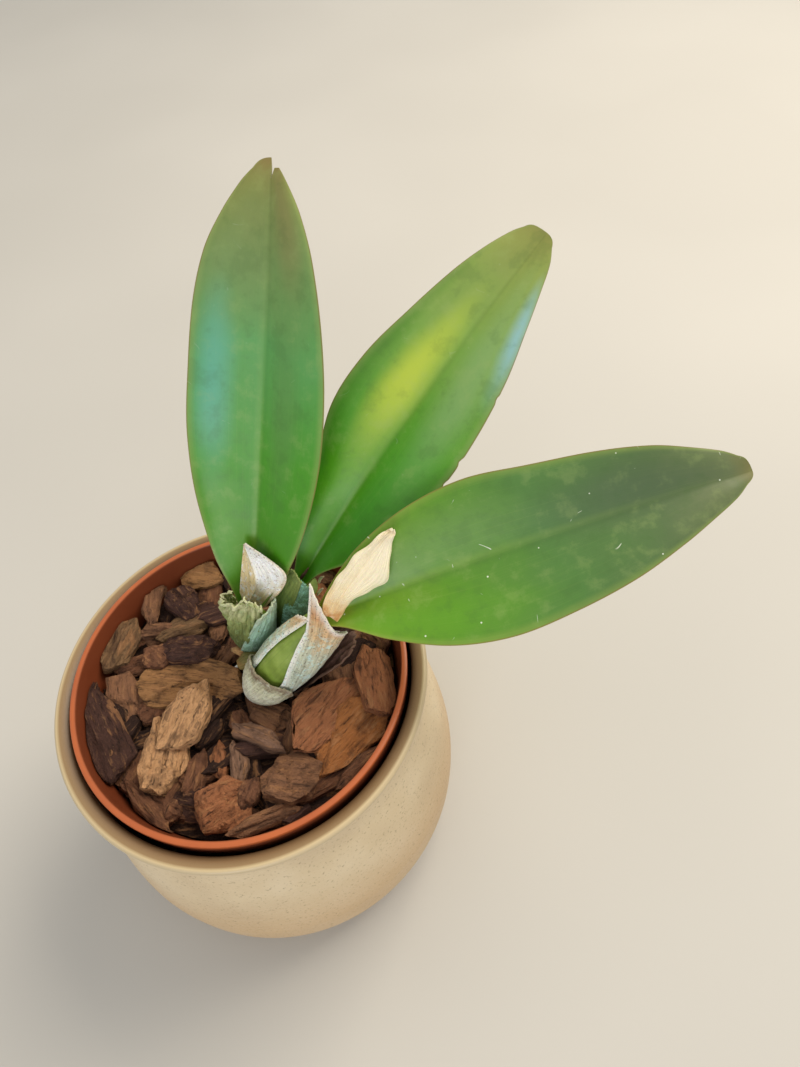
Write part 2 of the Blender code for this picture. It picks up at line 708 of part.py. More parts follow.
def make_wrap(name, bulb, wrap, parts, material):
    """A dry sheath round a bulb. Lists in wrap run across it, from one side edge to the other."""
    upper, lower = [], []
    line, radii = bulb["line"], bulb["radii"]
    length = (line[-1] - line[0]).length
    marks = [i / (len(radii) - 1) for i in range(len(radii))]
    places = [i / (len(wrap["foot"]) - 1) for i in range(len(wrap["foot"]))]
    columns = wrap.get("columns", 12)
    for i in range(WRAP_ROWS):
        share = i / (WRAP_ROWS - 1)
        outer_row, inner_row = [], []
        for j in range(columns):
            cross = j / (columns - 1)
            low, high = smooth(places, wrap["foot"], cross), smooth(places, wrap["top"], cross)
            at = low + (high - low) * share
            inside = min(max(at, 0.0), 1.0)
            where, direction = on_line(line, inside)
            where = where + direction * (at - inside) * length
            up, side = across(direction, CAMERA_SIDE)
            angle = math.radians(wrap["from"] + (wrap["to"] - wrap["from"]) * cross)
            outward = up * math.cos(angle) + side * math.sin(angle)
            bulb_radius = max(smooth(marks, radii, min(inside, wrap.get("keeps_width_from", 1.0))), radii[-1])
            stand_off = SHEATH_CLEARANCE + wrap.get("layer", 0) * (SHEATH + 0.4)
            reach = bulb_radius + stand_off + smooth(places, wrap["flare"], cross) * share**2
            drift = wrap.get("horn", Vector()) * (max(0.0, 1.0 - cross / HORN_WIDTH) * share**2)
            inner_row.append(where + drift + outward * reach)
            outer_row.append(where + drift + outward * (reach + SHEATH))
        upper.append(outer_row)
        lower.append(inner_row)
    return sheet(name, upper, lower, parts, material)


def make_patch(name, corners, bulge, parts, material):
    """A papery scale between four corners, bulging towards the viewer.

    The corners run from the lower left round by the upper left and the upper right to the lower right."""
    low_left, high_left, high_right, low_right = corners
    up = (high_left - low_left + high_right - low_right).normalized()
    out, _ = across(up, CAMERA_SIDE)
    upper, lower = [], []
    for i in range(PATCH_ROWS):
        v = i / (PATCH_ROWS - 1)
        top_row, under_row = [], []
        for j in range(PATCH_ROWS):
            u = j / (PATCH_ROWS - 1)
            left = low_left.lerp(high_left, v)
            right = low_right.lerp(high_right, v)
            swell = bulge * math.sin(math.pi * u) * (0.4 + 0.6 * math.sin(math.pi * v))
            point = left.lerp(right, u) + out * swell
            top_row.append(point)
            under_row.append(point - out * SHEATH)
        upper.append(top_row)
        lower.append(under_row)
    return sheet(name, upper, lower, parts, material)


def make_leaf(name, leaf, bulb, parts, material):
    """A leaf with a socket at its base for its bulb, and a split in the tip of the one that has it."""
    room = new_collection("leaf_room", hidden=True)
    line = list(bulb["line"])
    line[-1] = line[-1] + (line[-1] - line[-2]).normalized() * GAP
    rope(name + "_socket", line, [r + GAP for r in bulb["radii"]], BULB_SIDES, BULB_ROWS, room, None)
    if leaf["split_tip"]:
        notch(leaf, room)
    made = make_blade(name, leaf, LEAF_ROWS, LEAF_COLUMNS, LEAF_EDGE, LEAF_MIDDLE, parts, None)
    boolean(made, "DIFFERENCE", room)
    made = applied(made, parts, material)
    remove_all(room)
    return made


def main():
    clear_scene()
    parts = new_collection("cattleya_orchid")

    looks = {
        "grey": principled("grey_green_sheath", (0.42, 0.45, 0.33), 0.7),
        "silver": principled("silver_green_sheath", (0.24, 0.38, 0.30), 0.6),
        "straw": principled("straw_green_sheath", (0.38, 0.40, 0.18), 0.75),
        "brown": principled("brown_sheath", (0.16, 0.08, 0.06), 0.75),
        "olive": principled("olive_sheath", (0.13, 0.19, 0.07), 0.65),
        "tan": principled("tan_sheath", (0.72, 0.56, 0.36), 0.7),
    }
    make_cachepot(parts, principled("stoneware", (0.47, 0.39, 0.26), 0.55))
    make_grow_pot(parts, principled("terracotta_plastic", (0.46, 0.12, 0.04), 0.4))
    make_bark(parts, principled("pine_bark", (0.16, 0.07, 0.04), 0.85))
    make_rhizome(parts, principled("root_skin", (0.22, 0.21, 0.10), 0.8))

    rhizome_room = make_rhizome_room()
    bulb_green = principled("bulb_skin", (0.16, 0.25, 0.06), 0.5)
    for name, bulb in BULBS.items():
        made = rope(name, bulb["line"], bulb["radii"], BULB_SIDES, BULB_ROWS, parts, None)
        boolean(made, "DIFFERENCE", rhizome_room)
        applied(made, parts, bulb_green)
    leaf_green = principled("leaf_skin", (0.06, 0.20, 0.04), 0.35)
    for name, leaf in LEAVES.items():
        make_leaf(name, leaf, BULBS[leaf["on"]], parts, leaf_green)
    for name, wrap in WRAPS.items():
        made = make_wrap(name, BULBS[wrap["on"]], wrap, parts, None)
        boolean(made, "DIFFERENCE", rhizome_room)
        applied(made, parts, looks[wrap["look"]])
    make_blade("sheath_right_flower", FLOWER_SHEATH, 12, 7, SHEATH, SHEATH, parts, looks["tan"])
    make_patch("sheath_left_papery", PAPERY_CORNERS, 1.6, parts, looks["tan"])
    shoot = rope("old_shoot", OLD_SHOOT, (2.3, 2.2, 1.2), 8, 6, parts, None)
    boolean(shoot, "DIFFERENCE", rhizome_room)
    applied(shoot, parts, looks["olive"])
    remove_all(rhizome_room)


main()
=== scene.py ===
"""Looks of a potted cattleya orchid: its leaves, bulbs, dry sheaths, bark and two pots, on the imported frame.

Lengths in the tables are in millimetres, with +Z up and the cachepot's foot on Z = 0."""

import functools
import math
import random

import bmesh
import bpy
from mathutils import Matrix, Vector, noise


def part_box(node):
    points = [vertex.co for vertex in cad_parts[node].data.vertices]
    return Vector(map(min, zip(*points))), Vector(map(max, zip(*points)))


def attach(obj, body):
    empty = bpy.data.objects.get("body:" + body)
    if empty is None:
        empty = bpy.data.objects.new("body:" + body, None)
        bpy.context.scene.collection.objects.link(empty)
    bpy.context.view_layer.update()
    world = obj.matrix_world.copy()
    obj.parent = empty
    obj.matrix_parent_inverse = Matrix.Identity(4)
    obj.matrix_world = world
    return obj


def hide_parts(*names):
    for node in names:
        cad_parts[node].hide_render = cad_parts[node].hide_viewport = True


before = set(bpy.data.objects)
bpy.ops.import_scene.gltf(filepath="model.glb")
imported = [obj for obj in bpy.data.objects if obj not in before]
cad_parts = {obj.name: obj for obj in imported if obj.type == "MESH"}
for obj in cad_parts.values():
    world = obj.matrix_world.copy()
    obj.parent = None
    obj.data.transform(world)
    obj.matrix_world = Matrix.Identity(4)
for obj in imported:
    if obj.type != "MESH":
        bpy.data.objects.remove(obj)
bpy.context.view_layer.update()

bl_info = {
    "name": "Potted cattleya orchid",
    "version": (1, 0, 0),
    "blender": (4, 5, 0),
    "location": "3D View > Sidebar > Orchid",
    "description": "Models the leaves, bulbs, sheaths, bark and pots of an orchid round its packed frame",
    "category": "Add Mesh",
}

MM = 0.001

# Sizes that come from the frame
POT_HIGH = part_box("cachepot")[1] / MM
RIM_LOW, RIM_HIGH = (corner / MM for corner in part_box("grow_pot"))
BARK_LOW, BARK_HIGH = (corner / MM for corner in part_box("bark_mix"))
GROW_CENTRE = Vector(((RIM_LOW.x + RIM_HIGH.x) / 2, (RIM_LOW.y + RIM_HIGH.y) / 2, 0.0))
GROW_RIM = (RIM_HIGH.x - RIM_LOW.x) / 2
BARK_TOP = 100.5
PLANT_CENTRE = Vector((6.0, 9.5, 0.0))


def line_through(*places):
    """The places of a line, as vectors."""
    return tuple(Vector(place) for place in places)


# Bulbs: the line of each from the rhizome to its leaf, and its radius along that line
BULBS = {
    "pseudobulb_right": {
        "line": line_through((2.3, -2.0, 99.5), (10.0, -1.8, 109.0), (22.0, 0.0, 123.5), (33.3, 2.4, 138.4)),
        "radii": (2.8, 7.8, 8.4, 3.7),
    },
    "pseudobulb_left": {
        "line": line_through((0.6, 18.0, 99.5), (2.6, 17.6, 106.0), (4.8, 17.2, 115.5), (6.8, 16.6, 124.0)),
        "radii": (2.6, 5.2, 6.8, 3.6),
    },
    "pseudobulb_middle": {
        "line": line_through((13.5, 23.5, 99.5), (17, 24, 109), (21.5, 24, 119.5), (26.8, 23.2, 128.4)),
        "radii": (2.8, 6.1, 6.4, 5.2),
    },
}

# Leaves: half widths are read at these shares of the length
STATIONS = (0.0, 0.06, 0.15, 0.28, 0.42, 0.56, 0.70, 0.82, 0.90, 0.95, 0.975, 0.99, 1.0)
LEAVES = {
    "leaf_left": {
        "base": Vector((7.0, 16.8, 124.6)),
        "middle": Vector((26.2, 48.7, 187.5)),
        "tip": Vector((41.3, 89.8, 246.0)),
        "facing": Vector((-0.29, -0.78, 0.55)),
        "fold": 17.0,
        "left": (4.0, 7.3, 14.2, 20.8, 23.8, 24.3, 23.4, 19.3, 13.9, 9.3, 6.0, 3.2, 0.4),
        "right": (4.0, 8.6, 15.3, 20.5, 23.2, 22.7, 19.8, 15.4, 10.5, 6.2, 3.7, 1.7, 0.9),
        "split": 5.2,
        "short_lobe": 2.6,
        "spread": 1.0,
    },
    "leaf_middle": {
        "base": Vector((25.7, 23.8, 129.0)),
        "middle": Vector((68.4, 49.9, 178.8)),
        "tip": Vector((119.5, 78.7, 218.0)),
        "facing": Vector((-0.32, -0.62, 0.72)),
        "fold": 15.0,
        "left": (3.4, 6.5, 11.6, 17.3, 23.5, 23.7, 20.0, 15.9, 12.3, 9.4, 7.2, 4.9, 0.3),
        "right": (3.4, 6.2, 14.6, 21.2, 24.7, 24.0, 20.6, 14.8, 10.5, 7.6, 5.2, 3.0, 0.3),
    },
    "leaf_right": {
        "base": Vector((33.9, 2.4, 139.0)),
        "middle": Vector((99.8, 5.0, 163.0)),
        "tip": Vector((168.5, 10.3, 176.0)),
        "facing": Vector((-0.20, -0.49, 0.85)),
        "fold": 15.0,
        "left": (4.0, 10.4, 18.0, 24.2, 26.0, 23.4, 20.5, 16.5, 12.0, 8.7, 6.2, 4.0, 0.3),
        "right": (4.0, 7.6, 15.6, 23.3, 26.5, 24.9, 21.0, 15.2, 10.3, 6.8, 4.2, 2.2, 0.3),
    },
}
FLOWER_SHEATH = {
    "base": Vector((37.0, -0.3, 142.9)),
    "middle": Vector((46.5, 7.0, 156.5)),
    "tip": Vector((61.0, 13.7, 166.4)),
    "facing": Vector((0.10, -0.70, 0.70)),
    "fold": 8.0,
    "left": (2.6, 3.6, 4.4, 4.3, 4.3, 3.8, 3.1, 2.2, 1.6, 1.2, 0.8, 0.4, 0.1),
    "right": (2.6, 2.9, 3.4, 4.4, 7.2, 9.4, 7.9, 5.0, 2.7, 2.1, 1.7, 1.0, 0.2),
}
BASE_FOLD = 48.0  # degrees to which a leaf is folded at its base
FOLD_LENGTH = 0.12  # share of its length over which it opens
TIP = 0.02  # share of its length that is rounded
TIP_BEND = 0.6  # below 1, the tip is rounder
ROW_BEND = 1.35  # above 1, the rows of its grid draw together at its tip
EDGE = 0.25  # thickness at its edges, as a share of the full one
LEAF_THICKNESS = 1.3
LEAF_NICKS = {"leaf_middle": ((0.66, 0.5, 0.006), (0.50, 0.7, 0.008), (0.44, 0.5, 0.006), (0.36, 0.6, 0.007))}
VIEWER_SIDE = Vector((0.15, -0.72, 0.68))  # the side of a bulb that faces the camera
SHEATH = 0.55  # thickness of a dry sheath
SHEATH_GAP = 0.45  # between a bulb and the sheath next to it
SHEATH_LAYER = 1.1  # from one sheath to the next one over it
PAPERY_LEFT = line_through((3.8, 19.0, 130.0), (6.4, 21.6, 139.0), (10.6, 27.0, 151.6))
PAPERY_RIGHT = line_through((13.2, 14.6, 130.0), (23.4, 15.6, 146.2), (11.0, 26.8, 151.9))
PAPERY_RIDGE = 0.36  # how far across the papery scale its ridge stands

# Bark chips that show: x, y, rise above the bark, length, width, thickness, heading, roll, pitch, look, kind
CHIPS = (
    (-52.5, -14.0, 5.0, 47, 22, 6.0, 116, 14, 0, "purple", "ridge"),
    (-51.0, -20.0, 2.6, 26, 13, 5.0, 112, -26, 6, "umber", "plate"),
    (-20.5, -11.5, 6.6, 28, 17, 8.0, 66, 2, 5, "gold", "chunk"),
    (-27.0, -24.5, 4.4, 30, 20, 8.0, 82, 4, 2, "gold", "chunk"),
    (-30.0, 3.2, 2.8, 27, 20, 5.0, 170, 4, -3, "olive", "plate"),
    (-13.0, 3.2, 3.4, 27, 19, 4.0, 158, -6, 4, "olive", "plate"),
    (4.8, -22.0, 5.2, 26, 9, 7.0, 150, 6, 4, "grey", "rod"),
    (28.6, -16.6, 7.2, 36, 22, 4.5, 45, 8, 4, "copper", "plate"),
    (35.9, -25.0, 4.6, 36, 24, 4.5, 42, 12, 2, "orange", "plate"),
    (15.6, -38.4, 4.6, 23, 19, 6.5, 167, 10, 0, "umber", "chunk"),
    (-6.8, -44.4, 4.4, 22, 19, 7.5, 30, 12, 0, "copper", "chunk"),
    (2.5, -41.5, 5.4, 11, 8, 6.0, 60, 0, -14, "brown", "chunk"),
    (-16.6, -31.5, 3.2, 21, 9, 5.5, 80, 20, 0, "brown", "rod"),
    (-9.2, -28.0, 2.2, 15, 7, 5.0, 97, -6, 0, "copper", "rod"),
    (-2.0, -30.4, 3.2, 18, 8, 5.5, 98, 12, 4, "grey", "rod"),
    (6.6, -50.0, 3.4, 29, 8, 5.5, 14, 18, 2, "umber", "rod"),
    (-32.6, -41.0, 2.8, 28, 8, 5.5, 130, 22, -4, "brown", "rod"),
    (-22.0, -39.0, 1.2, 18, 12, 5.0, 60, 10, 8, "brown", "plate"),
    (39.6, -36.0, 2.6, 26, 7, 4.5, 36, 30, 0, "brown", "rod"),
    (47.5, -8.5, 6.0, 31, 15, 4.5, 96, 22, 3, "copper", "plate"),
    (38.0, -3.0, 3.2, 28, 20, 4.5, 92, 6, 4, "umber", "plate"),
    (32.5, 4.5, 3.4, 26, 8, 4.5, 60, 34, 0, "umber", "rod"),
    (-22.5, 16.0, 4.4, 28, 15, 7.0, 172, 8, 2, "purple", "chunk"),
    (-34.0, 14.5, 4.2, 12, 11, 6.0, 130, 0, 0, "brown", "chunk"),
    (-19.8, 51.0, 3.0, 25, 15, 5.0, 161, -10, 0, "olive", "plate"),
    (-37.4, 39.0, 4.8, 23, 8, 5.5, 88, 24, 2, "umber", "rod"),
    (-24.7, 37.0, 4.0, 20, 14, 6.5, 127, 10, 2, "purple", "chunk"),
    (-48.0, 22.5, 4.4, 24, 16, 6.5, 74, 18, 0, "weathered", "ridge"),
    (-10.0, 31.0, 2.8, 22, 12, 5.0, 20, 0, 8, "purple", "plate"),
    (-24.0, 26.5, 3.2, 25, 9, 5.5, 12, 10, 0, "weathered", "rod"),
    (-45.5, 1.0, 1.6, 24, 16, 5.0, 100, 10, 0, "umber", "plate"),
    (9.0, -13.5, 1.4, 20, 12, 4.0, 150, 8, 0, "umber", "plate"),
    (22.0, -30.0, 1.2, 18, 12, 4.0, 60, 8, 0, "brown", "plate"),
    (41.0, 14.0, 2.0, 20, 13, 5.0, 80, 0, 0, "umber", "plate"),
    (30.0, 30.0, 2.0, 22, 14, 5.0, 120, 10, 0, "copper", "plate"),
    (10.0, 41.0, 2.4, 24, 15, 5.0, 15, 0, 8, "brown", "plate"),
    (29.0, 43.0, 1.4, 18, 11, 5.0, 150, 10, 0, "umber", "chunk"),
    (44.0, 28.0, 1.8, 16, 10, 5.0, 70, 10, 0, "grey", "chunk"),
)
BARK_LOOKS = {
    "gold": "#dca878",
    "olive": "#a87a4e",
    "copper": "#a96d48",
    "orange": "#b0703e",
    "umber": "#90664a",
    "brown": "#7e543c",
    "grey": "#93705a",
    "weathered": "#856647",
    "purple": "#50352d",
    # dark is not a bark colour but painted shade, for the fine bark and the fillers in the gaps between chips
    "dark": "#38241c",
}
FILLERS = 74
FILLER_SHAPES = 7
FILLER_SIZE = (16, 10, 5)
FILLER_REACH = 0.95
CLEARING = 13.0  # radius round the plant that fillers keep out of
BED_SIDES = 72
CHIP_GAP = 0.6  # between a chip and the grow pot's wall
BED_GAP = 0.5  # between the fine bark and that wall
HOLLOW = 6.0  # how far the fine bark lies lower round the plant
HOLLOW_RADII = (8.0, 22.0)  # where it is fully lower, and where it ends
# Fillers in the dark look are painted shade in the gaps between the chips that show
FILLER_LOOKS = ("brown", "umber", "purple", "dark", "brown", "dark")
GOLDEN_ANGLE = math.radians(137.5)

# The view: a wide phone lens held above the plant, tilted down and turned a little
CAMERA_PLACE = Vector((63.0, -121.8, 349.8))
CAMERA_DOWN = 53.92
CAMERA_ROLL = -7.73
PHOTO_HEIGHT = 1067
FOCAL_PIXELS = 740
SENSOR = 36.0


def linear(code):
    """A colour given as an sRGB hex code, in the linear values that shaders take."""
    parts = [int(code[i : i + 2], 16) / 255 for i in (1, 3, 5)]
    return (*(c / 12.92 if c <= 0.04045 else ((c + 0.055) / 1.055) ** 2.4 for c in parts), 1.0)


# Numbers read off soft lines


def smooth(places, values, at):
    """A value read off a soft line through the values at those places."""
    last = len(places) - 1
    i = min(max(sum(1 for p in places if p <= at) - 1, 0), last - 1)
    span = places[i + 1] - places[i]
    before, after = max(i - 1, 0), min(i + 2, last)
    start = (values[i + 1] - values[before]) / (places[i + 1] - places[before])
    end = (values[after] - values[i]) / (places[after] - places[i])
    u = min(max((at - places[i]) / span, 0.0), 1.0)
    rise = values[i + 1] - values[i]
    soft_rise = rise * (3 * u * u - 2 * u**3)
    return values[i] + start * span * (u - 2 * u * u + u**3) + soft_rise + end * span * (u**3 - u * u)


def even(values, at):
    """A value read off a soft line through evenly spaced values."""
    return smooth([i / (len(values) - 1) for i in range(len(values))], values, at)


def place_on(points, at):
    """A place read off a soft line through evenly spaced places."""
    return Vector(even([p[k] for p in points], at) for k in range(3))


def on_line(points, at):
    """Place and direction on a soft line through the points, at a share of its length from 0 to 1."""
    behind, ahead = (place_on(points, min(max(at + shift, 0.0), 1.0)) for shift in (-0.02, 0.02))
    return place_on(points, at), (ahead - behind).normalized()


def across(direction, facing):
    """Two directions square to the first: the one nearest to facing, and the one to its right."""
    up = (facing - direction * facing.dot(direction)).normalized()
    return up, direction.cross(up)


def round_line(points, at, angle):
    """Place and direction on a soft line, and the way out of it at an angle from the viewer's side."""
    where, direction = on_line(points, at)
    up, side = across(direction, VIEWER_SIDE)
    return where, direction, up * math.cos(angle) + side * math.sin(angle)


def step(low, high, at):
    """0 below low, 1 above high, and a soft rise between them; turned round where low is the larger."""
    u = min(max((at - low) / (high - low), 0.0), 1.0)
    return u * u * (3 - 2 * u)


def rough(x, y=0.0, z=0.0):
    return noise.noise(Vector((x, y, z)))


# Modelling steps


def deselect():
    if bpy.context.mode != "OBJECT":
        bpy.ops.object.mode_set(mode="OBJECT")
    bpy.ops.object.select_all(action="DESELECT")


def edit_all():
    bpy.ops.object.mode_set(mode="EDIT")
    bpy.ops.mesh.select_all(action="SELECT")


def named(name):
    made = bpy.context.object
    made.name = name
    made.data.name = name
    return made


def modify(piece, kind, **settings):
    """Adds a modifier with its settings and applies it."""
    bpy.context.view_layer.objects.active = piece
    bpy.ops.object.modifier_add(type=kind)
    change = piece.modifiers[-1]
    for key, value in settings.items():
        setattr(change, key, value)
    bpy.ops.object.modifier_apply(modifier=change.name)


def shaped_grid(name, rows, columns, place):
    """A grid primitive with its points moved to place(across, along), which both run from 0 to 1."""
    deselect()
    bpy.ops.mesh.primitive_grid_add(x_subdivisions=columns, y_subdivisions=rows, size=1.0, calc_uvs=True)
    piece = named(name)
    for point in piece.data.vertices:
        point.co = place(point.co.x + 0.5, point.co.y + 0.5) * MM
    return piece


def shaped_tube(name, sides, rings, place):
    """A cylinder primitive cut into rings, with its points moved to place(angle, share, reach)."""
    deselect()
    bpy.ops.mesh.primitive_cylinder_add(
        vertices=sides, radius=1.0, depth=1.0, end_fill_type="TRIFAN", calc_uvs=True
    )
    piece = named(name)
    bpy.ops.object.mode_set(mode="EDIT")
    bpy.ops.mesh.select_all(action="DESELECT")
    bpy.ops.mesh.select_mode(type="EDGE")
    edit = bmesh.from_edit_mesh(piece.data)
    for edge in edit.edges:
        edge.select_set(abs(edge.verts[0].co.z - edge.verts[1].co.z) > 0.5)
    bmesh.update_edit_mesh(piece.data)
    bpy.ops.mesh.subdivide(number_cuts=rings - 1)
    bpy.ops.mesh.select_mode(type="VERT")
    bpy.ops.object.mode_set(mode="OBJECT")
    for point in piece.data.vertices:
        flat = Vector((point.co.x, point.co.y))
        point.co = place(math.atan2(flat.y, flat.x), point.co.z + 0.5, flat.length) * MM
    return piece


def turned(name, profile, sides, centre=Vector()):
    """A round piece drawn up from one ring: each turn of its profile is an extrusion, drawn to its radius."""
    deselect()
    radius, height = profile[0]
    start = (centre + Vector((0.0, 0.0, height))) * MM
    bpy.ops.mesh.primitive_circle_add(vertices=sides, radius=radius * MM, fill_type="NOTHING", location=start)
    piece = named(name)
    edit_all()
    for (r0, z0), (r1, z1) in zip(profile, profile[1:]):
        middle = (centre + Vector((0.0, 0.0, z1))) * MM
        bpy.ops.mesh.extrude_region_move(TRANSFORM_OT_translate={"value": (0.0, 0.0, (z1 - z0) * MM)})
        bpy.ops.transform.resize(value=(r1 / r0, r1 / r0, 1.0), center_override=middle)
    bpy.ops.mesh.select_all(action="SELECT")
    bpy.ops.mesh.fill_holes(sides=0)
    bpy.ops.mesh.select_all(action="SELECT")
    bpy.ops.mesh.normals_make_consistent(inside=False)
    bpy.ops.object.mode_set(mode="OBJECT")
    settle(piece)
    return piece


def soft_profile(points, steps):
    """Points of a profile with a soft line drawn through them, in that many steps from each to the next."""
    count = (len(points) - 1) * steps
    return [tuple(even([p[k] for p in points], i / count) for k in range(2)) for i in range(count + 1)]


def settle(piece):
    """Puts the piece's place, turn and size into its mesh."""
    deselect()
    piece.select_set(True)
    bpy.context.view_layer.objects.active = piece
    bpy.ops.object.transform_apply(location=True, rotation=True, scale=True)


def outward(piece):
    deselect()
    bpy.context.view_layer.objects.active = piece
    edit_all()
    bpy.ops.mesh.normals_make_consistent(inside=False)
    bpy.ops.object.mode_set(mode="OBJECT")


def refined_copy(node, name):
    """The node's own mesh again as a new piece, with its loose triangles joined."""
    deselect()
    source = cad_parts[node]
    piece = bpy.data.objects.new(name, source.data.copy())
    bpy.context.scene.collection.objects.link(piece)
    piece.select_set(True)
    bpy.context.view_layer.objects.active = piece
    edit_all()
    bpy.ops.mesh.remove_doubles(threshold=0.00001)
    bpy.ops.mesh.tris_convert_to_quads()
    bpy.ops.object.mode_set(mode="OBJECT")
    return piece


def finish_piece(piece, material, nodes, angle=60.0):
    """Settles a piece, gives it its material, ties it to the frame, and hides the nodes that it stands for."""
    settle(piece)
    bpy.ops.object.shade_smooth_by_angle(angle=math.radians(angle))
    piece.data.materials.clear()
    piece.data.materials.append(material)
    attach(piece, "root")
    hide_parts(*nodes)
    return piece


# Materials


def add_node(tree, kind, inputs=None, stops=None, **settings):
    """Adds a shader node with its settings. Its inputs take values, or what feeds them: nodes or outputs."""
    made = tree.nodes.new("ShaderNode" + kind)
    count = len(tree.nodes)
    made.location = (count % 9 * 220 - 1800, -(count // 9) * 320)
    for name, value in settings.items():
        setattr(made, name, value)
    for name, value in (inputs or {}).items():
        if isinstance(value, bpy.types.Node):
            value = value.outputs[0]
        if isinstance(value, bpy.types.NodeSocket):
            tree.links.new(value, made.inputs[name])
        else:
            made.inputs[name].default_value = value
    if stops:
        marks = made.color_ramp.elements
        for place, colour in stops[len(marks) :]:
            marks.new(place)
        for mark, (place, colour) in zip(marks, sorted(stops)):
            mark.position = place
            mark.color = linear(colour)
    return made


def new_material(name, roughness, specular=0.5, coat=0.0, subsurface=0.0):
    """A material with a principled shader, ready for its colour and relief, and its node tree."""
    made = bpy.data.materials.new(name)
    made.use_nodes = True
    shader = made.node_tree.nodes["Principled BSDF"]
    shader.inputs["Roughness"].default_value = roughness
    shader.inputs["Specular IOR Level"].default_value = specular
    shader.inputs["Coat Weight"].default_value = coat
    shader.inputs["Coat Roughness"].default_value = 0.25
    shader.inputs["Subsurface Weight"].default_value = subsurface
    shader.inputs["Subsurface Radius"].default_value = (0.4, 1.0, 0.2)
    shader.inputs["Subsurface Scale"].default_value = MM
    return made, made.node_tree


def surfaced(made, colour, *heights, gloss=None):
    """Gives a material its colour, and patterns as relief, each with its depth in mm, the lowest first."""
    tree = made.node_tree
    shader = tree.nodes["Principled BSDF"]
    tree.links.new(colour, shader.inputs["Base Color"])
    if gloss:
        tree.links.new(gloss.outputs[0], shader.inputs["Roughness"])
    under = {}
    for height, depth in heights:
        relief = add_node(tree, "Bump", {"Height": height, "Strength": 1.0, "Distance": depth * MM, **under})
        under = {"Normal": relief}
        tree.links.new(relief.outputs[0], shader.inputs["Normal"])
    return made


def tinted(tree, colour, *tints, mode="MIX"):
    """The colour with tints laid over it, one after the other.

    Each tint has a weight, a colour, and the ranges that it keeps to: a pattern, its value where the tint
    starts, and its value where the tint is full."""
    for weight, tint, *ranges in tints:
        factor = weight
        for values, start, full in ranges:
            limits = {"Value": values, "From Min": start, "From Max": full, "To Max": factor}
            factor = add_node(tree, "MapRange", limits, interpolation_type="SMOOTHSTEP")
        inputs = {0: factor, 6: colour, 7: linear(tint) if isinstance(tint, str) else tint}
        colour = add_node(tree, "Mix", inputs, data_type="RGBA", blend_type=mode).outputs[2]
    return colour


def pattern(tree, vector, scale, detail=3.0, roughness=0.5):
    """Soft patches, so many to a unit of the vector, and drawn out where the scale has three parts."""
    scale = scale if isinstance(scale, tuple) else (scale, scale, scale)
    spread = add_node(tree, "Mapping", {"Vector": vector, "Scale": scale})
    inputs = {"Vector": spread, "Scale": 1.0, "Detail": detail, "Roughness": roughness}
    return add_node(tree, "TexNoise", inputs).outputs["Fac"]


def swayed(tree, value, patches, reach):
    """The value moved to and fro by patches, over that reach in all."""
    moved = add_node(tree, "Math", {0: patches, 1: reach, 2: value}, operation="MULTIPLY_ADD")
    return add_node(tree, "Math", {0: moved, 1: reach / 2}, operation="SUBTRACT")


def apart(tree, value, middle):
    """How far the value lies from the middle one."""
    offset = add_node(tree, "Math", {0: value, 1: middle}, operation="SUBTRACT")
    return add_node(tree, "Math", {0: offset}, operation="ABSOLUTE")


def farthest(tree, *ranges):
    """The largest share by which values have come through their ranges."""
    shares = []
    for values, start, full in ranges:
        slope = 1 / (full - start)
        inputs = {0: values, 1: slope, 2: -start * slope}
        shares.append(add_node(tree, "Math", inputs, operation="MULTIPLY_ADD"))
    return add_node(tree, "Math", dict(enumerate(shares)), operation="MAXIMUM")


GLAZE_COLOURS = ((0.3, "#c4ae8a"), (0.5, "#cdb893"), (0.72, "#d4c19f"))
# Across the lip's top, from its inner edge to its crest: painted shade, then a painted highlight on the crest
LIP_SHADE_AND_HIGHLIGHT_COLOURS = ((0.0, "#57432c"), (0.30, "#7f6443"), (0.70, "#917650"), (0.88, "#c6b189"), (1.0, "#bca985"))


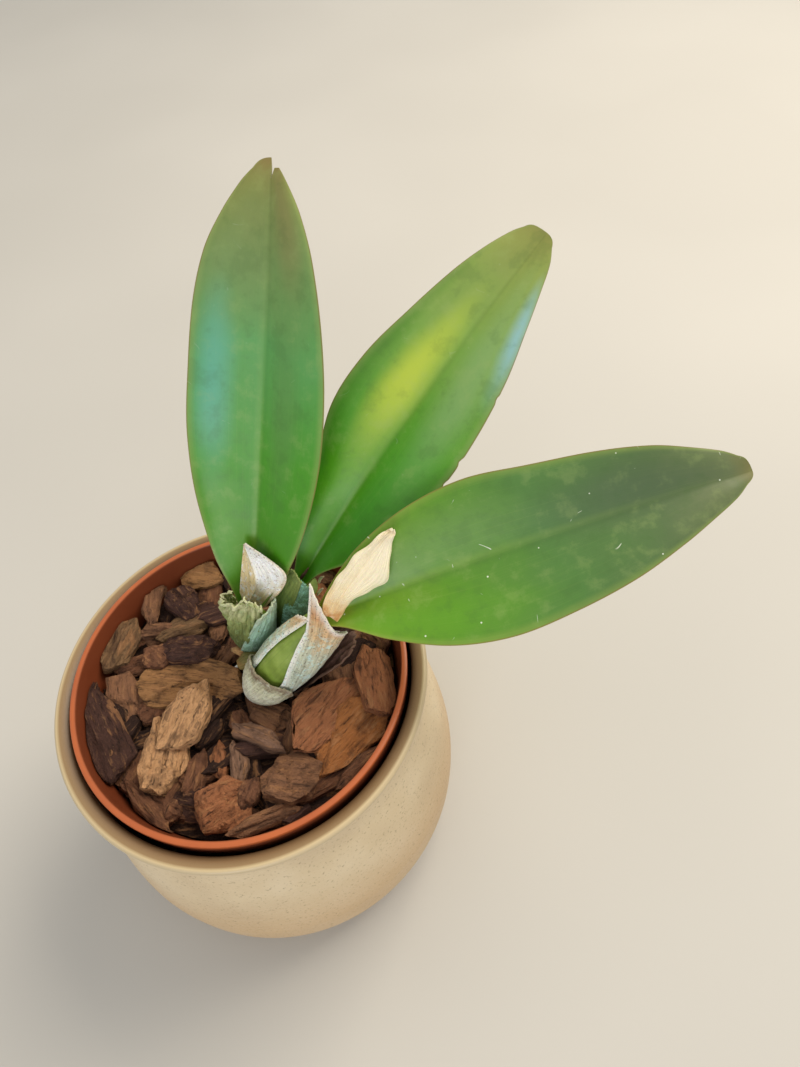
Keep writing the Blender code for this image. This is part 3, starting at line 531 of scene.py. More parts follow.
def stoneware_material():
    """Thrown stoneware under a satin speckled glaze, with a painted highlight along the lip's crest, painted
    shade down the lip's inner slope and in the throat, and painted warm reflected light low on the body.
    """
    made, tree = new_material("satin_glazed_stoneware", 0.42, coat=0.12)
    place = add_node(tree, "TexCoord").outputs["Object"]
    side, depth, height = add_node(tree, "SeparateXYZ", {0: place}).outputs
    flat = add_node(tree, "CombineXYZ", {0: side, 1: depth})
    radius = add_node(tree, "VectorMath", {0: flat}, operation="LENGTH").outputs["Value"]
    clouds = pattern(tree, place, 1 / (28 * MM), 4.0, 0.55)
    specks = pattern(tree, place, 1 / (1.1 * MM), 2.0, 0.6)
    flecks = pattern(tree, place, 1 / (0.8 * MM), 2.0, 0.6)
    grain = pattern(tree, place, 1 / (0.9 * MM), 4.0, 0.65)
    throwing = pattern(tree, place, (4.0, 4.0, 1 / (3.2 * MM)), 1.0)
    body = add_node(tree, "ValToRGB", {0: clouds}, stops=GLAZE_COLOURS)
    over = {"Value": radius, "From Min": 60.6 * MM, "From Max": 66.9 * MM}
    over = add_node(tree, "MapRange", over, interpolation_type="SMOOTHSTEP")
    lip = add_node(tree, "ValToRGB", {0: over}, stops=LIP_SHADE_AND_HIGHLIGHT_COLOURS)
    top = POT_HIGH.z
    colour = tinted(
        tree,
        body,
        # Painted reflection: warm light bounced up from below, warmer and darker towards the foot
        (0.48, "#b0844a", (height, 80 * MM, 38 * MM)),
        (0.42, "#5a4526", (specks, 0.60, 0.70)),
        (0.30, "#d9ccab", (flecks, 0.62, 0.72)),
        # The lip: a painted highlight along its crest and painted shade down its inner slope, then painted
        # shade on the throat's inner wall
        (1.0, lip, (height, (top - 4.2) * MM, (top - 1.6) * MM), (clouds, -0.2, 0.4)),
        (1.0, "#7f6140", (radius, 62.2 * MM, 61.2 * MM), (height, (top - 1.2) * MM, (top - 5.0) * MM)),
    )
    gloss = add_node(tree, "MapRange", {"Value": specks, "To Min": 0.34, "To Max": 0.56})
    return surfaced(made, colour, (grain, 0.10), (throwing, 0.18), gloss=gloss)


def plastic_material():
    """Moulded polypropylene in terracotta orange, satin, with painted shade darkening its walls below the
    rim's top and inside the rim, and a painted highlight along the rim's top.
    """
    made, tree = new_material("moulded_terracotta_plastic", 0.38, specular=0.45)
    place = add_node(tree, "TexCoord").outputs["Object"]
    height = add_node(tree, "SeparateXYZ", {0: place}).outputs["Z"]
    centred = {"Vector": place, "Location": tuple(-GROW_CENTRE * MM), "Scale": (1.0, 1.0, 0.0)}
    centred = add_node(tree, "Mapping", centred)
    radius = add_node(tree, "VectorMath", {0: centred}, operation="LENGTH").outputs["Value"]
    clouds = pattern(tree, place, 1 / (9 * MM), 4.0, 0.6)
    top = RIM_HIGH.z
    shade_below_rim = (height, (top - 0.5) * MM, (top - 2.6) * MM)
    shade_within_rim = (radius, (GROW_RIM - 1.3) * MM, (GROW_RIM - 2.3) * MM)
    colour = tinted(
        tree,
        add_node(tree, "ValToRGB", {0: clouds}, stops=((0.3, "#a04e28"), (0.7, "#b05a2c"))),
        # Painted shade: darker on the walls below the rim's top and inside the rim
        (0.88, "#68321d", (farthest(tree, shade_below_rim, shade_within_rim), 0.0, 1.0)),
        # Painted highlight along the rim's top
        (0.25, "#cf7440", (height, (top - 0.5) * MM, top * MM)),
    )
    return surfaced(made, colour, (pattern(tree, place, 1 / (1.4 * MM)), 0.04))


def bark_material():
    """Split pine bark: matt corky plates in browns, with fibres along each chip and crumbs, a painted
    highlight on its raised layers and fibres, and painted shade in its hollows and clefts.
    """
    made, tree = new_material("split_pine_bark", 0.86, specular=0.28)
    place = add_node(tree, "Attribute", attribute_name="chip_place").outputs["Vector"]
    own = add_node(tree, "Attribute", attribute_name="chip_colour").outputs["Color"]
    clouds = pattern(tree, place, 0.16, 4.0, 0.6)
    layers = pattern(tree, place, (0.07, 0.34, 0.9), 4.0, 0.55)
    grain = pattern(tree, place, (0.10, 0.75, 1.1), 5.0, 0.62)
    crumbs = pattern(tree, place, 1.5, 4.0, 0.7)
    colour = tinted(
        tree,
        own,
        (0.50, "#432a20", (clouds, 0.50, 0.32)),
        # These four tints follow the relief: paler on raised layers and fibres as painted highlight, darker in
        # the hollows between layers and in the clefts as painted shade
        (0.50, "#b88458", (layers, 0.54, 0.66)),
        (0.55, "#33201a", (layers, 0.45, 0.34)),
        (0.80, "#1e110d", (grain, 0.44, 0.31)),
        (0.35, "#c08f63", (grain, 0.56, 0.70)),
        (0.35, "#c79a70", (crumbs, 0.62, 0.74)),
    )
    return surfaced(made, colour, (layers, 3.0), (grain, 2.2), (crumbs, 0.6))


def leaf_material(name, along, patches, tired, specks):
    """A thick waxy leaf: satin green with faint lengthwise veins, a paler midrib with painted shade along its
    crease, and a red-brown margin.

    Each patch has its middle and reach as shares of the leaf, its colour and its weight; some are painted
    reflections of a cool light."""
    made, tree = new_material(name, 0.44, specular=0.34, coat=0.06, subsurface=0.06)
    coordinates = add_node(tree, "TexCoord").outputs
    place, uv = coordinates["Object"], coordinates["UV"]
    across, up = add_node(tree, "SeparateXYZ", {0: uv}).outputs[:2]
    clouds = pattern(tree, place, 1 / (22 * MM))
    colour = add_node(tree, "ValToRGB", {0: swayed(tree, up, clouds, 0.18)}, stops=along)
    for (x, y), (width, length), tint, weight in patches:
        shift, scale = (-x / width, -y / length, 0.0), (1 / width, 1 / length, 1.0)
        scaled = add_node(tree, "Mapping", {"Vector": uv, "Location": shift, "Scale": scale})
        far = add_node(tree, "VectorMath", {0: scaled}, operation="LENGTH").outputs["Value"]
        colour = tinted(tree, colour, (weight, tint, (swayed(tree, far, clouds, 0.45), 1.15, 0.1)))
    mottle = pattern(tree, place, 1 / (8 * MM), 5.0, 0.62)
    veins = pattern(tree, uv, (95.0, 1.6, 1.0), 3.0, 0.6)
    edge = swayed(tree, apart(tree, across, 0.5), veins, 0.01)
    dots = add_node(tree, "TexVoronoi", {"Vector": place, "Scale": 1 / (4.2 * MM), "Randomness": 1.0}).outputs
    chosen = add_node(tree, "SeparateColor", {0: dots["Color"]})
    hairs = apart(tree, pattern(tree, place, 1 / (15 * MM), 1.0, 0.4), 0.53)
    breaks = pattern(tree, place, 1 / (6.3 * MM), 2.0, 0.6)
    colour = tinted(
        tree,
        colour,
        (0.20, "#3a5f26", (mottle, 0.50, 0.34)),
        (0.16, "#a2b46c", (mottle, 0.52, 0.70)),
        (0.05, "#b4c46a", (veins, 0.50, 0.80)),
        # The midrib: a soft dark line just right of its middle, painted shade in the crease, with a faint
        # paler band beside it, which fades towards the tip
        (0.13, "#2c4a18", (apart(tree, across, 0.510), 0.040, 0.0)),
        (0.14, "#a4b860", (apart(tree, across, 0.475), 0.045, 0.0), (up, 1.0, 0.2)),
        # The margin, which ends short of the tip
        (0.42, tired, (edge, 0.43, 0.50), (up, 1.0, 0.97)),
        (0.50, "#84542f", (edge, 0.486, 0.498), (up, 1.0, 0.97)),
        # Lime specks and hair scratches
        (specks, "#dfe6d2", (dots["Distance"], 0.085, 0.05), (chosen, 0.80, 0.83)),
        (specks, "#dfe6d2", (hairs, 0.0042, 0.0016), (breaks, 0.60, 0.66)),
    )
    gloss = {"Value": clouds, "From Min": 0.3, "From Max": 0.7, "To Min": 0.34, "To Max": 0.5}
    gloss = add_node(tree, "MapRange", gloss)
    return surfaced(made, colour, (veins, 0.02), (pattern(tree, place, 1 / (5 * MM)), 0.10), gloss=gloss)


LEAF_LOOKS = {
    "leaf_left": {
        "along": (
            (0.0, "#4c7814"), (0.12, "#448310"), (0.32, "#499420"), (0.52, "#599a50"),
            (0.72, "#728d4e"), (0.88, "#808546"), (1.0, "#8a7a42"),
        ),
        "patches": (
            # A painted reflection: a turquoise sheen of the cool light on the left half
            ((0.17, 0.46), (0.17, 0.22), "#62ae9a", 0.70),
            ((0.20, 0.16), (0.26, 0.16), "#5c9a24", 0.60),
            ((0.75, 0.80), (0.2, 0.2), "#8a7c4a", 0.45),
            ((0.68, 0.42), (0.16, 0.25), "#5f8a48", 0.50),
            ((0.42, 0.10), (0.2, 0.10), "#6a9a20", 0.55),
        ),
        "tired": "#95a35a",
        "specks": 0.10,
    },
    "leaf_middle": {
        "along": (
            (0.0, "#3f7d0c"), (0.15, "#3c840a"), (0.35, "#509420"), (0.6, "#7aa044"),
            (0.8, "#8a9c4c"), (0.93, "#8c9148"), (1.0, "#8b8a46"),
        ),
        "patches": (
            ((0.34, 0.46), (0.18, 0.28), "#bccb3e", 0.88),
            ((0.32, 0.16), (0.26, 0.26), "#5da00e", 0.80),
            ((0.72, 0.25), (0.22, 0.24), "#519c3c", 0.50),
            ((0.75, 0.55), (0.20, 0.30), "#84a86c", 0.60),
            # A painted reflection: a blue sheen on the right margin
            ((0.95, 0.68), (0.14, 0.16), "#8ab8c0", 0.80),
            ((0.04, 0.48), (0.11, 0.30), "#427a22", 0.60),
        ),
        "tired": "#8a9b5a",
        "specks": 0.06,
    },
    "leaf_right": {
        "along": (
            (0.0, "#8d9620"), (0.08, "#6a921a"), (0.25, "#568a1e"), (0.45, "#4e7838"),
            (0.68, "#50683c"), (0.88, "#646f48"), (1.0, "#78703f"),
        ),
        "patches": (
            ((0.30, 0.22), (0.28, 0.26), "#6e9348", 0.50),
            ((0.35, 0.66), (0.30, 0.26), "#4f6242", 0.60),
            ((0.82, 0.16), (0.2, 0.25), "#5c961c", 0.60),
        ),
        "tired": "#8c9f48",
        "specks": 0.85,
    },
}


def bulb_material():
    """Living pseudobulb skin: smooth waxy yellow-green with faint darker lines along it."""
    made, tree = new_material("waxy_bulb_skin", 0.42, specular=0.45, coat=0.08, subsurface=0.08)
    coordinates = add_node(tree, "TexCoord").outputs
    place, uv = coordinates["Object"], coordinates["UV"]
    clouds = pattern(tree, place, 1 / (7 * MM), 4.0, 0.55)
    lines = pattern(tree, uv, (130.0, 2.0, 1.0), 3.0, 0.6)
    blots = pattern(tree, place, 1 / (1.3 * MM), 3.0, 0.7)
    stops = ((0.25, "#64792a"), (0.5, "#7c9336"), (0.75, "#94a94c"))
    colour = add_node(tree, "ValToRGB", {0: clouds}, stops=stops)
    colour = tinted(tree, colour, (0.3, "#4e6a24", (lines, 0.5, 0.75)), (0.5, "#9fb070", (blots, 0.66, 0.74)))
    return surfaced(made, colour, (lines, 0.10), (clouds, 0.25))


def sheath_material(
    name, along, edge, bloom, speck, fibres=70.0, strand=0.34, bare_from=None, keel=None, left_face=None
):
    """A dry papery sheath: matt fibres that run up it, paler at its torn edges, with mould specks and bloom.

    Edge, bloom and speck are each a weight and a colour. bare_from is the share of its height where bloom
    ends, keel is how far round it a pale ridge stands, and left_face is the colour left of the ridge."""
    made, tree = new_material(name, 0.72, specular=0.3, subsurface=0.05)
    coordinates = add_node(tree, "TexCoord").outputs
    place, uv = coordinates["Object"], coordinates["UV"]
    across, up = add_node(tree, "SeparateXYZ", {0: uv}).outputs[:2]
    clouds = pattern(tree, place, 1 / (5 * MM), 4.0, 0.6)
    strands = pattern(tree, uv, (fibres, 3.0, 1.0), 4.0, 0.6)
    film = pattern(tree, place, 1 / (2.6 * MM), 5.0, 0.7)
    dots = pattern(tree, place, 1 / (0.75 * MM), 3.0, 0.7)
    colour = add_node(tree, "ValToRGB", {0: swayed(tree, up, clouds, 0.5)}, stops=along)
    if left_face:
        colour = tinted(tree, colour, (1.0, left_face, (across, 0.40, 0.32)))
    colour = tinted(tree, colour, (strand, "#4c4430", (strands, 0.62, 0.36)), mode="MULTIPLY")
    border = farthest(tree, (apart(tree, across, 0.5), 0.44, 0.50), (up, 0.92, 1.0))
    colour = tinted(tree, colour, (*edge, (border, 0.0, 1.0)))
    if keel:
        colour = tinted(tree, colour, (0.75, edge[1], (apart(tree, across, keel), 0.045, 0.01)))
    below = [(up, bare_from + 0.15, bare_from)] if bare_from else []
    colour = tinted(tree, colour, (*bloom, (film, 0.50, 0.62), *below), (*speck, (dots, 0.57, 0.65)))
    return surfaced(made, colour, (strands, 0.28), (clouds, 0.30))


SHEATH_LOOKS = {
    "grey": {
        "along": ((0.0, "#dcdfcc"), (0.35, "#c2cdb4"), (0.7, "#cfcdb0"), (0.86, "#dfc295"), (1, "#d49a62")),
        "edge": (0.8, "#f0efe4"), "bloom": (0.70, "#c6e6e0"), "speck": (0.75, "#33291a"),
        "bare_from": 0.80, "keel": 0.36,
    },
    "cup": {
        "along": ((0.0, "#f2eee0"), (0.35, "#e0dec4"), (0.8, "#d0cfac"), (1.0, "#7c6448")),
        "edge": (0.3, "#ccc8ae"), "bloom": (0.40, "#dfe6cd"), "speck": (0.60, "#453c2a"),
    },
    "silver": {
        "along": ((0.0, "#5c725c"), (0.3, "#90b69c"), (0.8, "#b6d8be"), (1.0, "#c6d2b6")),
        "edge": (0.5, "#b4c0a2"), "bloom": (0.65, "#b6dacc"), "speck": (0.40, "#2f3f33"),
    },
    "straw": {
        "along": ((0.0, "#444c2a"), (0.3, "#6c763d"), (0.65, "#9aa363"), (1.0, "#cdcd9c")),
        "edge": (0.7, "#d2d2a8"), "bloom": (0.35, "#8aa870"), "speck": (0.35, "#55502d"),
    },
    "brown": {
        "along": ((0.0, "#2b1c15"), (0.6, "#4f3327"), (1.0, "#664a3c")),
        "edge": (0.4, "#8a6c56"), "bloom": (0.3, "#6a5148"), "speck": (0.4, "#1d130e"),
    },
    "flaking": {
        "along": ((0.0, "#5a7a5c"), (0.5, "#7aa886"), (1.0, "#92c2a6")),
        "edge": (0.4, "#6d8a66"), "bloom": (0.95, "#a4dccc"), "speck": (0.5, "#233022"),
    },
    "olive": {
        "along": ((0.0, "#566b34"), (0.5, "#7a9146"), (1.0, "#9cab5e")),
        "edge": (0.45, "#8a925a"), "bloom": (0.35, "#62804f"), "speck": (0.4, "#222b17"),
    },
    "papery": {
        "along": ((0.0, "#d8bf8c"), (0.22, "#e6d6ae"), (0.45, "#f1efe6"), (1.0, "#f8faf8")),
        "edge": (0.35, "#e8c89c"), "bloom": (0.75, "#f6fbfd"), "speck": (0.60, "#7a4a34"),
        "strand": 0.22,
    },
    "tan": {
        "along": ((0.0, "#6b4a2b"), (0.5, "#a97c4a"), (1.0, "#caa06a")),
        "edge": (0.3, "#d8bb8a"), "bloom": (0.50, "#8a6a42"), "speck": (0.70, "#3d2a1c"),
    },
    "withered": {
        "along": ((0.0, "#4a5426"), (0.45, "#5f6d33"), (0.8, "#74703c"), (1.0, "#94733f")),
        "edge": (0.3, "#9a8a58"), "bloom": (0.45, "#8a7a48"), "speck": (0.60, "#2c2617"),
    },
    "flower": {
        "along": ((0.0, "#cf9350"), (0.12, "#f0d09a"), (0.32, "#fdeec8"), (1.0, "#fff4d6")),
        "edge": (0.30, "#dcc692"), "bloom": (0.35, "#fbf0d4"), "speck": (0.15, "#cdae74"),
        "strand": 0.14,
    },
}


def clouded_material(name, roughness, specular, scale, detail, rough_by, stops, depth=0.0):
    """A plain matt skin in cloudy colours, with relief where it has a depth."""
    made, tree = new_material(name, roughness, specular=specular)
    clouds = pattern(tree, add_node(tree, "TexCoord").outputs["Object"], scale, detail, rough_by)
    colour = add_node(tree, "ValToRGB", {0: clouds}, stops=stops).outputs[0]
    return surfaced(made, colour, *([(clouds, depth)] if depth else []))


def root_material():
    """Rhizome and root skin: dull olive-brown, ringed with the stubs of old scales."""
    stops = ((0.3, "#2c2416"), (0.5, "#554a2a"), (0.7, "#7c7446"))
    return clouded_material("scaly_root_skin", 0.8, 0.25, 1 / (3 * MM), 5.0, 0.65, stops, 0.5)


def floor_material():
    """A plain pale painted board."""
    stops = ((0.4, "#bfbcb5"), (0.6, "#c3c0b9"))
    return clouded_material("pale_painted_floor", 0.7, 0.2, 3.0, 2.0, 0.5, stops)


# Pieces


def make_cachepot(sides):
    """The cachepot from the middle of its inner floor, up the wall, over the lip and down to the foot."""
    top, belly, lip = POT_HIGH.z, POT_HIGH.x, 66.6
    inner = [(51.0, 7.0), (62.0, 11.0), (68.3, 34.0), (66.0, 60.0), (62.7, 80.0), (60.5, 95.0)]
    throat = [(60.95, 102.0), (60.95, top - 2.6), (61.15, top - 1.7), (61.8, top - 1.1), (63.9, top - 0.4)]
    crest = [(65.4, top - 0.02), (66.1, top - 0.2), (66.5, top - 0.8), (lip, top - 1.6), (66.35, top - 2.9)]
    outer = [(64.6, top - 8.0), (63.7, top - 13.0), (64.3, 91.0), (67.6, 77.0), (70.6, 60.0), (72.6, 44.0)]
    foot = [(belly - 0.05, 34.0), (72.2, 21.0), (69.2, 11.0), (63.9, 3.6), (58.0, 0.25)]
    profile = [(0.6, 7.0), (30.0, 7.0)] + soft_profile(inner, 6) + throat + crest
    profile += soft_profile([crest[-1]] + outer + foot, 4)[1:] + [(56.5, 0.0), (30.0, 0.0), (0.6, 0.0)]
    return turned("cachepot_glazed", profile, sides)


def grow_inner(height):
    """Inner radius of the grow pot at a height: a tapering wall that opens into the rim's band."""
    top = RIM_HIGH.z
    return smooth((RIM_LOW.z, 60.0, top - 14.0, top - 6.0, top), (41.8, 49.0, 55.2, 57.3, 57.8), height)


def make_grow_pot(sides):
    """The grow pot: a thin tapering wall under a thicker rolled rim."""
    low, top, rim = RIM_LOW.z, RIM_HIGH.z, GROW_RIM
    floor, under = low + 3.6, low + 2.0
    heights = (low + 4.2, 60.0, top - 20.0, top - 14.0, top - 10.0, top - 6.0, top - 0.8)
    inside = [(0.6, floor), (30.0, floor), (grow_inner(floor) - 0.4, floor)]
    inside += [(grow_inner(z), z) for z in heights]
    edge = [(2.1, 0.35), (1.9, 0.1), (1.4, 0.0), (0.6, 0.0), (0.15, 0.25), (0.0, 0.7)]
    edge += [(0.1, 2.0), (0.3, 8.4), (0.6, 8.8), (3.2, 9.4)]
    band = [(rim - inwards, top - down) for inwards, down in edge]
    foot = [(43.7, 1.5), (43.0, 0.4), (42.0, 0.0), (38.6, 0.0), (38.1, 0.4)]
    foot = [(radius, low + up) for radius, up in foot] + [(38.0, under), (0.6, under)]
    return turned("grow_pot_moulded", inside + band + foot, sides, GROW_CENTRE)


def make_bark_bed(sides):
    """What lies under the chips: fine bark up to the wall, hollowed where the plant stands, and coloured dark
    as painted shade in the gaps between them.
    """
    floor = BARK_LOW.z
    rings = [(0.6 + 50.6 * i / 26, BARK_TOP) for i in range(27)]
    wall = [(grow_inner(z) - BED_GAP, z) for z in (BARK_TOP - 2.0, 80.0, 50.0, floor)]
    piece = turned("bark_fines", rings + wall + [(20.0, floor), (0.6, floor)], sides, GROW_CENTRE)
    for point in piece.data.vertices:
        at = point.co / MM
        if at.z < BARK_TOP - 0.5:
            continue
        near = (Vector((at.x, at.y, 0.0)) - PLANT_CENTRE).length
        at.z += 1.6 * rough(at.x * 0.35, at.y * 0.35) + 0.9 * rough(at.x * 0.9, at.y * 0.9, 4.0) - 1.2
        at.z -= HOLLOW * (1.0 - step(*HOLLOW_RADII, near))
        point.co = at * MM
    # The fine bark takes the dark look: painted shade in the gaps between the chips
    store_places(piece, "dark")
    return piece


def store_places(piece, look, offset=Vector()):
    """Keeps where each point lies on the chip, in millimetres, and the chip's colour, for its material."""
    points = piece.data.vertices
    places = [part for point in points for part in point.co / MM + offset]
    piece.data.attributes.new("chip_place", "FLOAT_VECTOR", "POINT").data.foreach_set("vector", places)
    colours = piece.data.attributes.new("chip_colour", "FLOAT_COLOR", "POINT")
    colours.data.foreach_set("color", linear(BARK_LOOKS[look]) * len(points))


def broken_outline(dice, corners):
    """A function that gives the radius of an uneven polygon, about 1, in any direction."""
    turns = [(i + dice.uniform(-0.32, 0.32)) / corners * math.tau for i in range(corners)]
    reaches = [dice.uniform(0.80, 1.12) for _ in range(corners)]
    spots = [Vector((math.cos(a) * r, math.sin(a) * r)) for a, r in zip(turns, reaches)]

    def radius(angle):
        ray = Vector((math.cos(angle), math.sin(angle)))
        best = 0.8
        for a, b in zip(spots, spots[1:] + spots[:1]):
            edge = b - a
            bottom = ray.x * edge.y - ray.y * edge.x
            if abs(bottom) < 1e-9:
                continue
            reach = (a.x * edge.y - a.y * edge.x) / bottom
            along = (a.x * ray.y - a.y * ray.x) / bottom
            if reach > 0 and -1e-6 <= along <= 1 + 1e-6:
                best = reach
        return best

    return radius


def model_chip(name, length, width, thickness, kind, seed, cuts):
    """A bark chip lying flat at the origin: a cube cut fine, drawn to a broken outline and roughened."""
    dice = random.Random(seed)
    deselect()
    bpy.ops.mesh.primitive_cube_add(size=2.0)
    piece = named(name)
    edit_all()
    bpy.ops.mesh.subdivide(number_cuts=cuts)
    bpy.ops.object.mode_set(mode="OBJECT")
    outline = broken_outline(dice, 7 if kind == "chunk" else 6)
    tear = Vector((math.cos(dice.uniform(0, math.tau)), math.sin(dice.uniform(0, math.tau)))).normalized()
    tear_at = dice.uniform(0.0, 0.5)
    shift = seed * 3.7
    for point in piece.data.vertices:
        x, y, z = point.co
        out = max(abs(x), abs(y))
        angle = math.atan2(y, x)
        ragged = 0.07 * rough(math.cos(angle) * 3.0 + shift, math.sin(angle) * 3.0, z * 2.2)
        reach = out * (outline(angle) + ragged * out)
        flat = Vector((math.cos(angle), math.sin(angle))) * reach
        at = Vector((flat.x * length / 2, flat.y * width / 2, 0.0))
        fibre = rough(at.x * 0.07 + shift, at.y * 0.75, z * 2.0)
        lump = rough(at.x * 0.20 + shift, at.y * 0.24, z)
        if kind == "rod":
            body = z * (1.0 - 0.55 * out**3)
            relief = 0.30 * fibre + 0.22 * lump
        elif kind == "chunk":
            body = z * (1.0 - 0.40 * out**4)
            cells = noise.cell(Vector((at.x * 0.16 + 0.2 * lump + shift, at.y * 0.2, 0.0)))
            relief = 0.46 * lump + 0.20 * cells + 0.14 * fibre + 0.12 * rough(at.x * 0.7 + shift, at.y * 0.7)
        elif kind == "ridge":
            body = z * (1.0 - 0.3 * out**4) * (1.15 - 1.1 * abs(flat.y + 0.12) if z > 0 else 1.0)
            relief = 0.22 * fibre + 0.24 * lump
        else:
            body = z * (1.0 - 0.22 * out**6)
            layer = step(tear_at - 0.02, tear_at + 0.05, flat.dot(tear) + 0.10 * lump)
            relief = (-0.55 * layer if z > 0 else 0.0) + 0.20 * fibre + 0.24 * lump
        at.z = (body + relief) * thickness / 2
        point.co = at * MM
    return piece


def place_chip(piece, x, y, rise, heading, roll, pitch):
    """Turns a chip, puts it on the bark and keeps it inside the pot's wall."""
    turn = Matrix.Rotation(math.radians(heading), 4, "Z")
    turn = turn @ Matrix.Rotation(math.radians(pitch), 4, "Y") @ Matrix.Rotation(math.radians(roll), 4, "X")
    piece.matrix_world = Matrix.Translation(Vector((x, y, BARK_TOP + rise)) * MM) @ turn
    settle(piece)
    for point in piece.data.vertices:
        at = point.co / MM
        out = Vector((at.x, at.y, 0.0)) - GROW_CENTRE
        limit = grow_inner(at.z) - CHIP_GAP
        if out.length > limit:
            out = out.normalized() * (limit - 0.04 * (out.length - limit))
            at.x, at.y = out.x + GROW_CENTRE.x, out.y + GROW_CENTRE.y
        at.z = min(at.z, BARK_HIGH.z)
        point.co = at * MM


def joined(name, pieces):
    deselect()
    for piece in pieces:
        piece.select_set(True)
    bpy.context.view_layer.objects.active = pieces[0]
    bpy.ops.object.join()
    return named(name)


def make_shown_chips(cuts):
    """The chips that show in the photograph, each with its own shape."""
    made = []
    for i, (x, y, rise, length, width, thickness, heading, roll, pitch, look, kind) in enumerate(CHIPS):
        piece = model_chip("chip_%d" % i, length, width, thickness, kind, i + 1, cuts)
        store_places(piece, look, Vector((i * 61.0, i * 17.0, 0.0)))
        place_chip(piece, x, y, rise, heading, roll, pitch)
        made.append(piece)
    return joined("bark_chips_upper", made)


def make_filler_chips(cuts):
    """Smaller chips between and under them, spread evenly out to the wall."""
    dice = random.Random(11)
    kinds = ("plate", "rod", "chunk")
    models = []
    for i in range(FILLER_SHAPES):
        models.append(model_chip("filler_%d" % i, *FILLER_SIZE, kinds[i % 3], 50 + i, cuts))
    made = []
    for i in range(FILLERS):
        angle = i * GOLDEN_ANGLE + 0.4
        reach = grow_inner(BARK_TOP) * math.sqrt((i + 0.5) / FILLERS) * FILLER_REACH
        x = GROW_CENTRE.x + math.cos(angle) * reach
        y = GROW_CENTRE.y + math.sin(angle) * reach
        if (Vector((x, y, 0.0)) - PLANT_CENTRE).length < CLEARING:
            continue
        deselect()
        model = models[i % FILLER_SHAPES]
        model.select_set(True)
        bpy.context.view_layer.objects.active = model
        bpy.ops.object.duplicate(linked=False)
        piece = named("filler_copy_%d" % i)
        size = dice.uniform(0.75, 1.35)
        piece.scale = (size, size * dice.uniform(0.8, 1.15), size)
        settle(piece)
        store_places(piece, dice.choice(FILLER_LOOKS), Vector((i * 31.0, 400.0 + i * 13.0, 0.0)))
        rise, heading = dice.uniform(-1.2, 1.4), dice.uniform(0, 360)
        place_chip(piece, x, y, rise, heading, dice.uniform(-22, 22), dice.uniform(-14, 14))
        made.append(piece)
    for model in models:
        bpy.data.objects.remove(model, do_unlink=True)
    return joined("bark_chips_lower", made)


def make_stem(name, line, radii, sides, rings, relief):
    """A round stem along a soft line, as thick as its radii and its relief at an angle and a share say."""

    def place(angle, share, reach):
        where, _, out = round_line(line, share, angle)
        return where + out * (even(radii, share) + relief(angle, share)) * reach

    return shaped_tube(name, sides, rings, place)


def make_bulb(name, bulb):
    """A pseudobulb: a spindle with shallow grooves along it, in the line of its stem."""

    def grooved(angle, share):
        groove = 0.22 * math.cos(9 * angle + 0.7) * math.sin(math.pi * share)
        return groove + 0.25 * rough(math.cos(angle) * 2, math.sin(angle) * 2, share * 6)

    return make_stem(name + "_skin", bulb["line"], bulb["radii"], 48, 36, grooved)


def make_small_stem(name, line, radii, sides=14, rings=16, bumps=0.15):
    """A small stem, shrivelled as its bumps say."""

    def knobbly(angle, share):
        return bumps * rough(math.cos(angle) * 3 + line[0].x, math.sin(angle) * 3, share * 9)

    return make_stem(name, line, radii, sides, rings, knobbly)


def blade_point(blade, u, t, width_of, base_fold=BASE_FOLD, arch=0.6, waves=0.5):
    """A point on a folded blade's upper face. u runs from -1 at its left edge to 1, t from base to tip."""
    base, middle, tip = blade["base"], blade["middle"], blade["tip"]
    centre = (1 - t) ** 2 * base + 2 * t * (1 - t) * middle + t * t * tip
    direction = ((1 - t) * (middle - base) + t * (tip - middle)).normalized()
    up, side = across(direction, blade["facing"])
    fold = math.radians(blade["fold"] + (base_fold - blade["fold"]) * math.exp(-t / FOLD_LENGTH))
    width = width_of(u, t) * abs(u)
    crease = math.sqrt(u * u + 0.012) - 0.11  # the fold is rounded at the midrib
    lift = width_of(u, t) * crease * math.sin(fold)
    open_share = step(0.04, 0.25, t) * step(1.0, 0.92, t)
    bow = arch * math.sin(math.pi * abs(u)) * open_share - 1.1 * arch * abs(u) ** 6 * open_share
    wave = waves * math.sin(t * 17.0 + (2.0 if u > 0 else 0.0)) * u * u * open_share
    wave += waves * 1.4 * rough(t * 5.0 + (7.0 if u > 0 else 0.0), u * 1.2, base.x) * abs(u) * open_share
    flat = side * math.copysign(width * math.cos(fold), u)
    return centre + flat + up * (lift + bow + wave)


def closer_rows(along):
    """The share of a leaf's length at a row of its grid: the rows draw together at the tip, to round it."""
    return 1.0 - (1.0 - along) ** ROW_BEND


def rounder_tip(t):
    """The share at which a leaf's width is read: drawn back near the tip, so that it comes out round."""
    return 1.0 - TIP * ((1.0 - t) / TIP) ** TIP_BEND if t > 1.0 - TIP else t


def leaf_width(leaf, nicks=()):
    """How wide a leaf's half is at a place, with small nicks bitten from its right edge."""

    def width_of(u, t):
        width = smooth(STATIONS, leaf["right"] if u > 0 else leaf["left"], rounder_tip(t))
        if u > 0.9:
            for at, depth, span in nicks:
                width -= depth * math.exp(-(((t - at) / span) ** 2))
        return width

    return width_of


